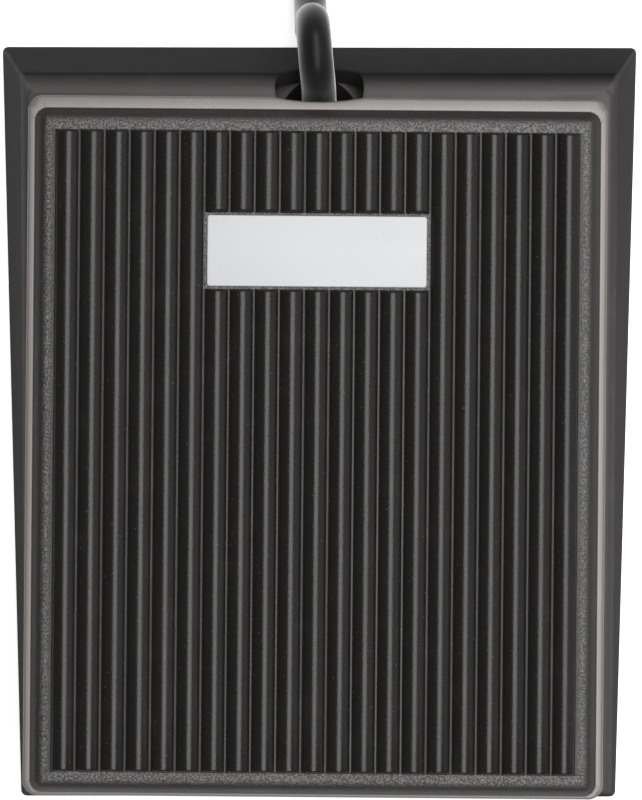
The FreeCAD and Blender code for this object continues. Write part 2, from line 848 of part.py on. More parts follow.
def bottom_plate():
    """Return the steel bottom plate with its screw, foot and bumper holes and two spring seats."""
    rear_y = half_length - tangent(rear_draft_deg) * (plate_top - base_lift)
    rear_y -= base_wall / cosine(rear_draft_deg) + plate_clearance
    front_y = -half_length + tangent(front_draft_deg) * (plate_top - base_lift)
    front_y += base_wall / cosine(front_draft_deg) + plate_clearance
    corners = []
    for y in (rear_y, front_y):
        x = wall_half_width(y, plate_top, base_wall) - plate_clearance
        corners.append((x, y))
    (xr, yr), (xf, yf) = corners
    outline = face_of([Vector(xr, yr, plate_bottom), Vector(-xr, yr, plate_bottom),
                       Vector(-xf, yf, plate_bottom), Vector(xf, yf, plate_bottom)])
    plate = outline.extrude(Z_AXIS * plate_thickness)
    seat_radius = spring_radius - spring_wire / 2 - spigot_clearance
    seat = Part.makeCylinder(seat_radius, seat_height + 0.3, Vector(spring_x, spring_y, plate_top - 0.3))
    plate = plate.fuse([seat, mirrored(seat)])
    holes = []
    for place in screw_places():
        holes.append(Part.makeCylinder(screw_shank_radius + screw_clearance, plate_thickness + 2,
                                       place + Vector(0, 0, plate_bottom - 1)))
        holes.append(Part.makeCone(screw_head_radius + screw_clearance,
                                   screw_shank_radius + screw_clearance, plate_thickness * 0.8,
                                   place + Vector(0, 0, plate_bottom)))
    for radius, places in ((foot_stem_radius, foot_places()), (bumper_stem_radius, bumper_places()),
                           (bracket_screw_radius, bracket_screw_places()),
                           (screw_shank_radius, clamp_screw_places())):
        for place in places:
            holes.append(Part.makeCylinder(radius + screw_clearance, plate_thickness + 2,
                                           place + Vector(0, 0, plate_bottom - 1)))
    return plate.cut(holes).removeSplitter()


def bottom_screws():
    """Return the four countersunk screws that hold the bottom plate."""
    screw = recessed_screw(screw_shank_radius, screw_head_radius, plate_thickness * 0.8,
                           screw_length - 0.5, screw_slot)
    return Part.makeCompound([screw.translated(place + Vector(0, 0, plate_bottom)) for place in screw_places()])


def rubber_feet():
    """Return the four push-in rubber feet."""
    disc = Part.makeCylinder(foot_radius, plate_bottom)
    rim = [edge for edge in disc.Edges if edge.BoundBox.ZMax < 1e-6]
    disc = disc.makeFillet(foot_edge, rim)
    stem = Part.makeCylinder(foot_stem_radius, plate_thickness, Vector(0, 0, plate_bottom))
    head = Part.makeCone(foot_head_radius, foot_stem_radius, foot_head_height, Vector(0, 0, plate_top))
    foot = disc.fuse([stem, head]).removeSplitter()
    return Part.makeCompound([foot.translated(place) for place in foot_places()])


def stop_bumpers():
    """Return the two rubber bumpers that the pressed treadle lands on."""
    bumpers = []
    for place in bumper_places():
        low = pressed_roof_height(place.y - bumper_radius) - bumper_gap
        body = Part.makeCylinder(bumper_radius, low - plate_top, place + Vector(0, 0, plate_top))
        rim = [edge for edge in body.Edges if abs(edge.BoundBox.ZMin - low) < 1e-6]
        body = body.makeFillet(1.0, rim)
        stem = Part.makeCylinder(bumper_stem_radius, plate_thickness, place + Vector(0, 0, plate_bottom))
        bumpers.append(body.fuse(stem).removeSplitter())
    return Part.makeCompound(bumpers)


def return_spring():
    """Return the right compression spring, standing between its seat and the treadle's spigot."""
    top = roof_height(spring_y - spring_radius - spring_wire) - spring_gap
    height = top - plate_top - spring_wire
    helix = Part.makeHelix(height / spring_turns, height, spring_radius)
    profile = Part.Wire([Part.makeCircle(spring_wire / 2, Vector(spring_radius, 0, 0), Y_AXIS)])
    spring = Part.Wire(helix.Edges).makePipeShell([profile], True, True)
    spring.translate(Vector(spring_x, spring_y, plate_top + spring_wire / 2))
    return spring


def hinge_pin():
    """Return the right hinge pin with its head on the outside."""
    inner = lug_inner_x - clip_gap - clip_thickness - pin_tail
    outer = lug_inner_x + 2 * lug_width + 2 * ear_side_gap + ear_width
    pin = rod(pin_radius, Vector(inner, hinge_y, hinge_z), Vector(outer + 0.5, hinge_y, hinge_z))
    head = rod(pin_head_radius, Vector(outer + 0.05, hinge_y, hinge_z),
               Vector(outer + 0.05 + pin_head_length, hinge_y, hinge_z))
    return pin.fuse(head).removeSplitter()


def pin_clips():
    """Return the two spring clips on the pins' inner ends."""
    x = lug_inner_x - clip_gap
    centre = Vector(x, hinge_y, hinge_z)
    inner = Vector(x - clip_thickness, hinge_y, hinge_z)
    ring = rod(clip_radius, inner, centre)
    ring = ring.cut(rod(pin_radius + pin_clearance, inner - X_AXIS, centre + X_AXIS))
    mouth = box(x - clip_thickness - 1, x + 1, hinge_y - 1.0, hinge_y + 1.0, hinge_z - clip_radius - 1, hinge_z)
    return both_sides(ring.cut(mouth))


def switch_holes():
    """Return the two screw lines through the microswitch, as points on the middle plane."""
    middle = (switch_front_y + switch_rear_y) / 2
    z = switch_bottom + switch_hole_height
    return [Vector(0, middle - switch_hole_spacing / 2, z), Vector(0, middle + switch_hole_spacing / 2, z)]


def switch_case():
    """Return the microswitch's case with its lever lugs, screw holes and button well."""
    half = switch_width / 2
    case = box(-half, half, switch_front_y, switch_rear_y, switch_bottom, switch_top)
    lug_top = lever_pivot.z + lever_pin_radius + 0.6
    for side in (-1, 1):
        x0, x1 = sorted((side * half, side * (half - lever_lug_width)))
        case = case.fuse(box(x0, x1, lever_pivot.y - 1.4, lever_pivot.y + 1.4, switch_top - 0.5, lug_top))
    cuts = [rod(switch_hole_radius + switch_screw_clearance, point - X_AXIS * switch_width,
                point + X_AXIS * switch_width) for point in switch_holes()]
    cuts.append(rod(lever_pin_radius + pin_clearance, lever_pivot - X_AXIS * switch_width,
                    lever_pivot + X_AXIS * switch_width))
    top, low = button_ends()
    cuts.append(rod(button_radius + button_clearance, Vector(0, top.y, low.z - button_well),
                    Vector(0, top.y, switch_top + 1)))
    return case.cut(cuts).removeSplitter()


def button_ends():
    """Return the top and bottom of the switch button at rest."""
    y = lever_pivot.y - button_distance * cosine(lever_rise_deg)
    under = lever_pivot.z + button_distance * sine(lever_rise_deg) - lever_thickness / 2
    top = Vector(0, y, under - button_gap - button_radius * sine(lever_rise_deg))
    return top, top - Z_AXIS * button_length


def switch_button():
    """Return the microswitch's button with a rounded top."""
    top, low = button_ends()
    button = Part.makeCylinder(button_radius, button_length, low)
    rim = [edge for edge in button.Edges if abs(edge.BoundBox.ZMin - top.z) < 1e-6]
    return button.makeFillet(button_radius * 0.4, rim)


def switch_lever():
    """Return the microswitch's lever: a flat strip with its pivot pin."""
    strip = box(-lever_width / 2, lever_width / 2, -lever_length, 0,
                -lever_thickness / 2, lever_thickness / 2)
    pin = rod(lever_pin_radius, Vector(-switch_width / 2 + 0.1, 0, 0), Vector(switch_width / 2 - 0.1, 0, 0))
    lever = strip.fuse(pin).removeSplitter()
    lever.rotate(Vector(0, 0, 0), X_AXIS, -lever_rise_deg)
    return lever.translated(lever_pivot)


def terminal_end(height):
    """Return the outer end of a switch terminal at a height above the case's bottom."""
    return Vector(0, switch_rear_y + terminal_length, switch_bottom + height)


def switch_terminals():
    """Return the two flat solder tabs at the switch's rear end."""
    tabs = []
    for height in (terminal_low, terminal_high):
        z = switch_bottom + height
        tab = box(-terminal_width / 2, terminal_width / 2, switch_rear_y, switch_rear_y + terminal_length,
                  z - terminal_thickness / 2, z + terminal_thickness / 2)
        hole = Part.makeCylinder(0.6, 2, Vector(0, switch_rear_y + terminal_length - 1.8, z - 1))
        tabs.append(tab.cut(hole))
    return Part.makeCompound(tabs)


def switch_bracket():
    """Return the steel angle bracket that carries the microswitch on the bottom plate."""
    x = -switch_width / 2 - 0.05
    upright = box(x - bracket_thickness, x, switch_front_y, switch_rear_y, plate_top, plate_top + bracket_height)
    foot = box(x - bracket_foot, x, switch_front_y, switch_rear_y, plate_top, plate_top + bracket_thickness)
    bracket = upright.fuse(foot)
    holes = [rod(switch_hole_radius + switch_screw_clearance, point - X_AXIS * switch_width,
                 point + X_AXIS * switch_width) for point in switch_holes()]
    holes += [Part.makeCylinder(bracket_screw_radius + screw_clearance, 4, place + Vector(0, 0, plate_top - 1))
              for place in bracket_screw_places()]
    return bracket.cut(holes).removeSplitter()


def switch_screws():
    """Return the two screws that hold the microswitch to its bracket."""
    length = switch_width + bracket_thickness + 0.6
    screw = pan_screw(switch_hole_radius, switch_screw_head_radius, switch_screw_head_length, length, screw_slot)
    screw.rotate(Vector(0, 0, 0), Y_AXIS, 90)
    seat = Vector(switch_width / 2 + 0.05, 0, 0)
    return Part.makeCompound([screw.translated(point + seat) for point in switch_holes()])


def bracket_screws():
    """Return the two screws that hold the bracket to the bottom plate."""
    screw = pan_screw(bracket_screw_radius, bracket_screw_head_radius, bracket_screw_head_height,
                      bracket_thickness + plate_thickness - 0.1, screw_slot)
    seat = Vector(0, 0, plate_top + bracket_thickness + 0.02)
    return Part.makeCompound([screw.translated(place + seat) for place in bracket_screw_places()])


def tail_route():
    """Return the cord's way from the bush down to the plate and through the clamp."""
    start = cord_exit - cord_direction * bush_length
    first = start - cord_direction * 4.2
    gentle = cord_exit_deg / 2
    drop = first.z - tail_rest
    second = first - Vector(0, drop / tangent(gentle), drop)
    return [start, first, second, Vector(0, tail_end_y, tail_rest)]


def cord_clamp():
    """Return the saddle that holds the cord's tail down on the plate."""
    y0, y1 = clamp_front_y, clamp_front_y + clamp_length
    top = tail_rest + cord_radius + clamp_roof
    half_body = cord_radius + clamp_roof
    body = box(-half_body, half_body, y0, y1, plate_top, top)
    ears = box(-clamp_width / 2, clamp_width / 2, y0, y1, plate_top, plate_top + clamp_ear)
    hole = rod(cord_radius + clamp_clearance, Vector(0, y0 - 1, tail_rest), Vector(0, y1 + 1, tail_rest))
    slot = box(-cord_radius - clamp_clearance, cord_radius + clamp_clearance, y0 - 1, y1 + 1,
               plate_top - 1, tail_rest)
    holes = [Part.makeCylinder(screw_shank_radius + screw_clearance, 10, place + Vector(0, 0, plate_top - 1))
             for place in clamp_screw_places()]
    return body.fuse(ears).cut([hole, slot] + holes).removeSplitter()


def clamp_screws():
    """Return the two screws of the cord clamp."""
    screw = pan_screw(screw_shank_radius, screw_head_radius, bracket_screw_head_height,
                      clamp_ear + plate_thickness - 0.1, screw_slot)
    seat = Vector(0, 0, plate_top + clamp_ear + 0.02)
    return Part.makeCompound([screw.translated(place + seat) for place in clamp_screw_places()])


def core_wire(side, height):
    """Return one insulated core from the cord's cut end to a switch terminal."""
    start = Vector(side * wire_spread, tail_end_y, tail_rest)
    end = terminal_end(height)
    span = start.y - end.y
    points = [
        start,
        start - Vector(0, span * 0.25, 0),
        Vector(end.x, end.y + span * 0.3, end.z),
        end,
    ]
    return tube(points, wire_radius)


def cord_tie():
    """Return the flat strap round the coil's turns, square to them."""
    last_radius = coil_outer_radius
    inner = coil_inner_radius - coil_dip - cord_radius - tie_clearance
    outer = last_radius + cord_radius + tie_clearance
    low = coil_height - cord_radius - tie_clearance
    high = coil_height + coil_layer + cord_radius + tie_clearance
    t = tie_thickness
    band = box(inner - t, outer + t, -tie_width / 2, tie_width / 2, low - t, high + t)
    band = band.cut(box(inner, outer, -tie_width, tie_width, low, high))
    band.rotate(Vector(0, 0, 0), Z_AXIS, tie_angle_deg)
    return band.translated(Vector(coil_centre.x, coil_centre.y, 0))


def revolved(profile, start, direction):
    """Spin a profile of (distance along, radius) pairs about a line from a point."""
    points = [Vector(along, 0, radius) for along, radius in profile]
    solid = face_of(points).revolve(Vector(0, 0, 0), X_AXIS, 360)
    solid = Part.makeSolid(solid) if solid.ShapeType != "Solid" else solid
    solid.Placement = FreeCAD.Placement(start, FreeCAD.Rotation(X_AXIS, direction))
    return solid


def plug_pieces():
    """Return the plug's five pieces, laid in line from the cord's end."""
    way = (end_route[-1] - end_route[-2]).normalize()
    start = end_route[-1]
    relief = revolved([(0, 0), (0, relief_tip_radius), (relief_length, grip_radius - grip_waist),
                       (relief_length, 0)], start, way)

    grip_start = start + way * relief_length
    ring = grip_length / (2 * grip_ring_count + 3)
    outline = [(0, 0), (0, grip_radius - grip_waist), (ring, grip_radius)]
    for index in range(grip_ring_count):
        along = ring * (2 + 2 * index)
        outline += [(along, grip_radius), (along + ring * 0.3, grip_radius - grip_waist),
                    (along + ring * 0.7, grip_radius - grip_waist), (along + ring, grip_radius)]
    outline += [(grip_length - ring * 0.5, grip_radius), (grip_length, grip_radius - grip_waist),
                (grip_length, 0)]
    grip = revolved(outline, grip_start, way)

    sleeve_start = grip_start + way * grip_length
    shell = [(0, 0), (0, plug_collar_radius), (plug_collar_length, plug_collar_radius),
             (plug_collar_length, plug_radius), (plug_collar_length + plug_sleeve_length, plug_radius),
             (plug_collar_length + plug_sleeve_length, 0)]
    bore_end = plug_collar_length + plug_sleeve_length
    sleeve = revolved(shell, sleeve_start, way)
    core_start = sleeve_start + way * (plug_collar_length + 1)
    sleeve = sleeve.cut(rod(plug_core_radius + 0.6, core_start, sleeve_start + way * (bore_end + 1)))

    ring_start = sleeve_start + way * bore_end
    collar = rod(plug_insulator_radius, ring_start, ring_start + way * plug_insulator_length)
    liner = rod(plug_core_radius + 0.6, core_start, ring_start)
    insulator = collar.fuse(liner)
    insulator = insulator.cut(rod(plug_core_radius, core_start, ring_start + way * 5))

    tip_start = ring_start + way * plug_insulator_length
    length = plug_tip_length
    nose = revolved([(0, 0), (0, plug_radius), (length * 0.12, plug_radius),
                     (length * 0.42, plug_tip_neck_radius), (length * 0.62, plug_radius * 0.93),
                     (length * 0.74, plug_radius * 0.93), (length, plug_tip_neck_radius * 0.45),
                     (length, 0)], tip_start, way)
    tip = nose.fuse(rod(plug_core_radius, core_start, tip_start + way * 0.5)).removeSplitter()
    return {
        "plug_strain_relief": relief,
        "plug_grip": grip,
        "plug_sleeve": sleeve.removeSplitter(),
        "plug_insulator": insulator.removeSplitter(),
        "plug_tip": tip,
    }


def cords():
    """Return the cord's stretches and the two cores, printing how each was measured."""
    lead, lead_length, lead_arc = tube(cord_route, cord_radius)
    report_tube("cord", lead, cord_radius, lead_length, lead_arc)
    coil, coil_length, coil_end = coil_solid()
    report_tube("cord_coil", coil, cord_radius, coil_length, coil_inner_radius - coil_dip)
    print("coil ends at", [round(value, 3) for value in coil_end])
    end, end_length, end_arc = tube(end_route, cord_radius)
    report_tube("cord_end", end, cord_radius, end_length, end_arc)
    tail, tail_length, tail_arc = tube(tail_route(), cord_radius)
    report_tube("cord_tail", tail, cord_radius, tail_length, tail_arc)
    print("free cord in all", round(lead_length + coil_length + end_length, 1), "mm")
    return {
        "cord": lead,
        "cord_coil": coil,
        "cord_end": end,
        "cord_tail": tail,
        "signal_wire": core_wire(1, terminal_low)[0],
        "ground_wire": core_wire(-1, terminal_high)[0],
    }


def build():
    """Return every piece by its node's name."""
    spring = return_spring()
    pin = hinge_pin()
    nodes = {
        "base_housing": base_housing(),
        "bottom_plate": bottom_plate(),
        "bottom_screws": bottom_screws(),
        "rubber_feet": rubber_feet(),
        "stop_bumpers": stop_bumpers(),
        "hinge_pin_right": pin,
        "hinge_pin_left": mirrored(pin),
        "pin_clips": pin_clips(),
        "return_spring_right": spring,
        "return_spring_left": mirrored(spring),
        "treadle_cover": treadle_cover(),
        "label_plate": label_plate(),
        "switch_bracket": switch_bracket(),
        "bracket_screws": bracket_screws(),
        "switch_case": switch_case(),
        "switch_lever": switch_lever(),
        "switch_button": switch_button(),
        "switch_terminals": switch_terminals(),
        "switch_screws": switch_screws(),
        "cord_bush": cord_bush(),
        "cord_clamp": cord_clamp(),
        "clamp_screws": clamp_screws(),
        "cord_tie": cord_tie(),
    }
    nodes.update(cords())
    nodes.update(plug_pieces())
    return nodes


os.makedirs("parts", exist_ok=True)
for name, shape in build().items():
    shape.exportStep("parts/" + name + ".step")
    bounds = shape.BoundBox
    print(name, len(shape.Solids), "solids, valid" if shape.isValid() else "solids, NOT VALID",
          round(shape.Volume, 1), [round(value, 2) for value in (
              bounds.XMin, bounds.XMax, bounds.YMin, bounds.YMax, bounds.ZMin, bounds.ZMax)])
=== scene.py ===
"""Foot pedal switch: finishes, cord, strap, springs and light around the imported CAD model.

Lengths are in metres. X runs across the pedal, +Y to its rear, where the cord leaves, and Z up.
"""

import json
import logging
import math
from dataclasses import dataclass, field
from enum import Enum

import bmesh
import bpy
import numpy as np
from mathutils import Matrix, Vector

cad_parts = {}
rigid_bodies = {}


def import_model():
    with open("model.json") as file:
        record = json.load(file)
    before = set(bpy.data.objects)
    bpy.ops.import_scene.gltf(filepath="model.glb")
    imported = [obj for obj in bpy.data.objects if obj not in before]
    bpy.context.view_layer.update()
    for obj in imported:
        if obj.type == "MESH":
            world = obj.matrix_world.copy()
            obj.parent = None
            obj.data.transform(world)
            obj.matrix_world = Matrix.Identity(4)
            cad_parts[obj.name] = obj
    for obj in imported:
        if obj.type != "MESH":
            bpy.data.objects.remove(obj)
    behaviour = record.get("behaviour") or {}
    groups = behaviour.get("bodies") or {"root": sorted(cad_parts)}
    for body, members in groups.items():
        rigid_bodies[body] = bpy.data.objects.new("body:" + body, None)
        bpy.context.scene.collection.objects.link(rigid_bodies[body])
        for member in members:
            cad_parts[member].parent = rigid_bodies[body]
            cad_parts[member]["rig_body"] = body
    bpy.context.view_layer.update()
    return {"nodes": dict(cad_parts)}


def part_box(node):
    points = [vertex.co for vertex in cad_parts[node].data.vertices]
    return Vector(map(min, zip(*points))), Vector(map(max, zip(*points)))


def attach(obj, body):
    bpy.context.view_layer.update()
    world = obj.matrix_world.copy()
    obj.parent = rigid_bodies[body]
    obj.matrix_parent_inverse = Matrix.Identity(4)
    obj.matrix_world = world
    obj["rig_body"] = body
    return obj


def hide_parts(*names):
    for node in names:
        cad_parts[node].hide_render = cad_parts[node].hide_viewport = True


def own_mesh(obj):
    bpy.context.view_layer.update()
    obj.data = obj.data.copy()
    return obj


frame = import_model()

log = logging.getLogger("foot_pedal")
MM = 0.001
TREADLE_TILT_DEG = 6.6

Colour = tuple[float, float, float]
Point = tuple[float, float, float]


def tone(red: int, green: int, blue: int) -> Colour:
    """Return the linear colour of a screen colour whose parts run from 0 to 255.

    Args:
        red: Red part.
        green: Green part.
        blue: Blue part.

    Returns:
        The three linear parts, from 0 to 1.
    """
    parts = np.array((red, green, blue)) / 255
    linear = np.where(parts <= 0.04045, parts / 12.92, ((parts + 0.055) / 1.055) ** 2.4)
    return tuple(float(part) for part in linear)


def times(colour: Colour, factor: float, lift: float = 0.0) -> Colour:
    """Return a colour with each part multiplied by a factor and then lifted."""
    return tuple(part * factor + lift for part in colour)


class Grain(Enum):
    """How a moulded surface was textured in its tool."""

    SPARK = "spark eroded, a fine even grain"
    SATIN = "stoned smooth, with faint flow marks"
    GLOSS = "polished"


def feed(tree: bpy.types.NodeTree, target: bpy.types.NodeSocket, value: object) -> None:
    """Link a Value or an output socket to an input, or set the input to a plain value.

    Args:
        tree: The tree that holds the input.
        target: The input.
        value: A Value, an output socket, a number or a tuple.
    """
    if isinstance(value, Value):
        value = value.socket
    if isinstance(value, bpy.types.NodeSocket):
        tree.links.new(value, target)
    else:
        target.default_value = value


class Value:
    """A number that varies over a surface. Arithmetic on it adds Math nodes."""

    def __init__(self, tree: bpy.types.NodeTree, socket: bpy.types.NodeSocket) -> None:
        """Wrap an output socket of a tree."""
        self.tree = tree
        self.socket = socket

    def math(self, operation: str, *operands: "Value | float") -> "Value":
        """Add a Math node.

        Args:
            operation: The node's operation.
            operands: What follows this value in the node's inputs.

        Returns:
            The node's result.
        """
        node = self.tree.nodes.new("ShaderNodeMath")
        node.operation = operation
        for place, operand in enumerate((self, *operands)):
            feed(self.tree, node.inputs[place], operand)
        return Value(self.tree, node.outputs[0])

    def __add__(self, other: "Value | float") -> "Value":
        """Return the sum."""
        return self.math("ADD", other)

    def __sub__(self, other: "Value | float") -> "Value":
        """Return the difference."""
        return self.math("SUBTRACT", other)

    def __mul__(self, other: "Value | float") -> "Value":
        """Return the product."""
        return self.math("MULTIPLY", other)

    def __rsub__(self, other: float) -> "Value":
        """Return a number less this value."""
        return self.math("MULTIPLY_ADD", -1.0, other)

    __radd__ = __add__
    __rmul__ = __mul__

    def clamped(self) -> "Value":
        """Return the value held between 0 and 1.

        Returns:
            The held value.
        """
        held = self.math("ADD", 0.0)
        held.socket.node.use_clamp = True
        return held

    def over(self, edge: float, softness: float) -> "Value":
        """Return a mask that rises from 0 to 1 about an edge, over twice a softness."""
        return ((self - (edge - softness)) * (0.5 / softness)).clamped()


class Shader:
    """A material and the nodes that make it, all added through one method."""

    def __init__(self, name: str) -> None:
        """Start an empty material of that name.

        Args:
            name: The material's name.
        """
        self.material = bpy.data.materials.new(name)
        self.material.use_nodes = True
        self.tree = self.material.node_tree
        self.tree.nodes.clear()

    def node(self, kind: str, settings: dict | None = None, inputs: dict | None = None) -> bpy.types.Node:
        """Add a node.

        Args:
            kind: The node's type, without its ShaderNode prefix.
            settings: Properties, set first.
            inputs: Values, sockets or Values, by the input's name or place.

        Returns:
            The new node.
        """
        node = self.tree.nodes.new("ShaderNode" + kind)
        for name, setting in (settings or {}).items():
            setattr(node, name, setting)
        for name, value in (inputs or {}).items():
            feed(self.tree, node.inputs[name], value)
        return node

    def value(self, kind: str, settings: dict | None = None, inputs: dict | None = None,
              output: int | str = 0) -> Value:
        """Add a node as node() does and return one of its outputs as a Value."""
        return Value(self.tree, self.node(kind, settings, inputs).outputs[output])

    def place(self, kind: str = "Object", scale: Point = (1, 1, 1), turn: Point = (0, 0, 0),
              shift: Point = (0, 0, 0)) -> bpy.types.NodeSocket:
        """Return coordinates on the piece, scaled and turned by a Mapping node.

        Args:
            kind: Which coordinates: Object or UV.
            scale: The scale along each axis.
            turn: The turn about each axis, in radians.
            shift: The shift along each axis.

        Returns:
            The coordinates.
        """
        coordinates = self.node("TexCoord").outputs[kind]
        return self.node("Mapping", None, {
            "Vector": coordinates, "Scale": scale, "Rotation": turn, "Location": shift}).outputs[0]

    def attribute(self, name: str) -> Value:
        """Return one of the piece's own attributes."""
        return self.value("Attribute", {"attribute_name": name}, None, "Fac")

    def noise(self, place: bpy.types.NodeSocket, scale: float, detail: float = 2.0,
              roughness: float = 0.5, distortion: float = 0.0) -> Value:
        """Return fractal noise with about scale cells to the metre.

        Args:
            place: The coordinates.
            scale: The cells to the metre.
            detail: The finer octaves.
            roughness: How strong the finer octaves are.
            distortion: How far the pattern is bent.

        Returns:
            The noise, from 0 to 1.
        """
        return self.value("TexNoise", None, {
            "Vector": place, "Scale": scale, "Detail": detail, "Roughness": roughness,
            "Distortion": distortion})

    def blend(self, mask: "Value | float", first: "Colour | bpy.types.NodeSocket",
              second: "Colour | bpy.types.NodeSocket") -> bpy.types.NodeSocket:
        """Return the colour that goes from first to second as the mask rises.

        Args:
            mask: 0 where first shows, 1 where second does.
            first: A colour or a socket.
            second: A colour or a socket.

        Returns:
            The blended colour.
        """
        mix = self.tree.nodes.new("ShaderNodeMix")
        mix.data_type = "RGBA"
        for place, value in ((0, mask), (6, first), (7, second)):
            feed(self.tree, mix.inputs[place], (*value, 1) if isinstance(value, tuple) else value)
        return mix.outputs[2]

    def bump(self, height: Value, depth: float, edge: float = 0.0) -> bpy.types.NodeSocket:
        """Return normals raised by a height of 0 to 1.

        Args:
            height: The pattern.
            depth: What a height of 1 stands proud.
            edge: The radius that sharp edges look rounded to, or 0 to leave them.

        Returns:
            The normals.
        """
        inputs = {"Height": height, "Distance": depth, "Strength": 1.0}
        if edge > 0:
            inputs["Normal"] = self.node("Bevel", {"samples": 6}, {"Radius": edge}).outputs[0]
        return self.node("Bump", None, inputs).outputs[0]

    def finish(self, inputs: dict, under: dict | None = None,
               mask: Value | None = None) -> bpy.types.Material:
        """Join inputs to a Principled shader and return the material.

        Args:
            inputs: The Principled shader's inputs.
            under: A second one's inputs, which shows where the mask is 0.
            mask: Where the first shows.

        Returns:
            The material.
        """
        surface = self.node("BsdfPrincipled", None, inputs)
        if under is not None:
            second = self.node("BsdfPrincipled", None, under)
            surface = self.node("MixShader", None, {0: mask, 1: second.outputs[0], 2: surface.outputs[0]})
        output = self.node("OutputMaterial")
        self.tree.links.new(surface.outputs[0], output.inputs[0])
        return self.material


@dataclass(frozen=True)
class MouldedPlastic:
    """Injection-moulded plastic: the tool's grain, faint cloudiness, rubbed spots and dust, and where asked
    painted light and shade.
    """

    name: str
    colour: Colour
    grain: Grain
    roughness: float
    specular: float = 0.5
    edge: float = 0.2 * MM
    rubbed: float = 0.0
    polished: float = 0.0
    glazed: float = 0.0
    glint_strength: float = 0.0
    # Painted highlight with some wear: the pale colour of the rim's ledge.
    wear_and_highlight: Colour = tone(158, 151, 146)
    # Painted glints: the pale colour of spots on the grain.
    glint_colour: Colour = tone(150, 148, 144)
    dust: Colour = tone(150, 146, 142)
    # How strongly the dust specks show.
    dust_and_painted_light: float = 0.22
    cloudy: float = 0.14
    matt_walls: bool = False
    wall_roughness: float = 0.8
    wall_specular: float = 0.07
    # Painted light: the pale colour that the side walls and faces turning upward are lightened towards.
    painted_light: Colour = tone(96, 92, 88)
    # Painted shade: the dark colour that the rear wall is darkened towards.
    shaded: Colour = tone(12, 11, 11)
    glaze_specular: float = 0.36
    glaze_depth: float = 0.15

    def material(self) -> bpy.types.Material:
        """Return the finish as a material.

        Where the piece's rim attribute is 1, the grain is shallow, the roughness falls and a pale
        colour shows, a painted highlight with some wear. Where its "glaze" attribute is 1, the face
        came smooth off the tool, and where its glint attribute is 1 pale spots on the grain are painted
        glints.

        Returns:
            The material.
        """
        shader = Shader(self.name)
        place = shader.place()
        cells, depth, spread = {
            Grain.SPARK: (3800.0, 0.080 * MM, 0.25),
            Grain.SATIN: (1500.0, 0.010 * MM, 0.12),
            Grain.GLOSS: (500.0, 0.004 * MM, 0.06)}[self.grain]
        fine = shader.noise(place, cells, 3.0, 0.62)
        clouds = shader.noise(place, 45.0, 3.0, 0.55)
        rubs = shader.noise(place, 170.0, 4.0, 0.6, 0.4).over(0.62, 0.09)
        specks = shader.noise(place, 2600.0, 1.0, 0.5).over(0.76, 0.02)
        base = shader.blend(fine * 0.6 + clouds * 0.4, times(self.colour, 0.72),
                            times(self.colour, 1.25, 0.002))
        base = shader.blend(rubs * self.rubbed, base, times(self.colour, 1.8, 0.01))
        base = shader.blend(specks * self.dust_and_painted_light, base, self.dust)
        rough = self.roughness + (clouds - 0.5) * self.cloudy + (fine - 0.5) * spread
        rough = rough - rubs * (0.3 * self.rubbed)
        height = fine
        if self.polished > 0:
            polish_and_highlight = shader.attribute("polish_and_highlight")
            rough = rough - polish_and_highlight * self.polished
            height = height * (1 - polish_and_highlight * 0.8)
            # Painted highlight: the ledge round the rim is lightened, with some wear.
            base = shader.blend(polish_and_highlight * 0.8, base, self.wear_and_highlight)
        if self.glint_strength > 0:
            # Painted glints: pale spots on the flat face's grain.
            painted_glints = shader.noise(place, 3500.0, 2.0, 0.6).over(0.53, 0.09)
            base = shader.blend(painted_glints * shader.attribute("painted_glint") * self.glint_strength, base, self.glint_colour)
        normal = shader.bump(height, depth, self.edge)
        sheen = {"Base Color": base, "Roughness": rough.clamped(), "Specular IOR Level": self.specular,
                 "Normal": normal}
        if self.glazed > 0:
            glazed = {"Base Color": base, "Roughness": (rough - self.glazed).clamped(),
                      "Specular IOR Level": self.glaze_specular,
                      "Normal": shader.bump(height, depth * self.glaze_depth, self.edge)}
            return shader.finish(sheen, glazed, 1 - shader.attribute("glaze"))
        if self.matt_walls:
            return self.walled(shader, sheen)
        return shader.finish(sheen)

    def walled(self, shader: Shader, sheen: dict) -> bpy.types.Material:
        """Return the finish with matt walls.

        Steep faces show no sheen. It comes in as they turn upward, and sooner on the sides.
        Faces that turn upward and the side walls get painted light, and the rear wall painted shade.

        Args:
            shader: The material so far.
            sheen: The Principled shader's inputs for the faces that lie flat.

        Returns:
            The material.
        """
        facing = shader.node("SeparateXYZ", None, {"Vector": shader.node("NewGeometry").outputs["Normal"]})
        upward = Value(shader.tree, facing.outputs["Z"])
        sideways = Value(shader.tree, facing.outputs["X"]).math("ABSOLUTE")
        base = sheen["Base Color"]
        # Painted shade: the rear wall is darkened.
        rear = shader.blend(0.55, base, self.shaded)
        # Painted light: the side walls are lightened.
        sides = shader.blend(0.08, base, self.painted_light)
        matt = {"Base Color": shader.blend(sideways.over(0.4, 0.3), rear, sides),
                "Roughness": self.wall_roughness, "Specular IOR Level": self.wall_specular,
                "Normal": sheen["Normal"]}
        # Painted highlight, with some dust: faces that turn upward are lightened.
        dust_and_painted_light = sheen | {"Base Color": shader.blend(upward.over(0.9, 0.12) * 0.5, base, self.painted_light)}
        return shader.finish(dust_and_painted_light, matt, (upward + sideways * 0.35).over(0.8, 0.18))


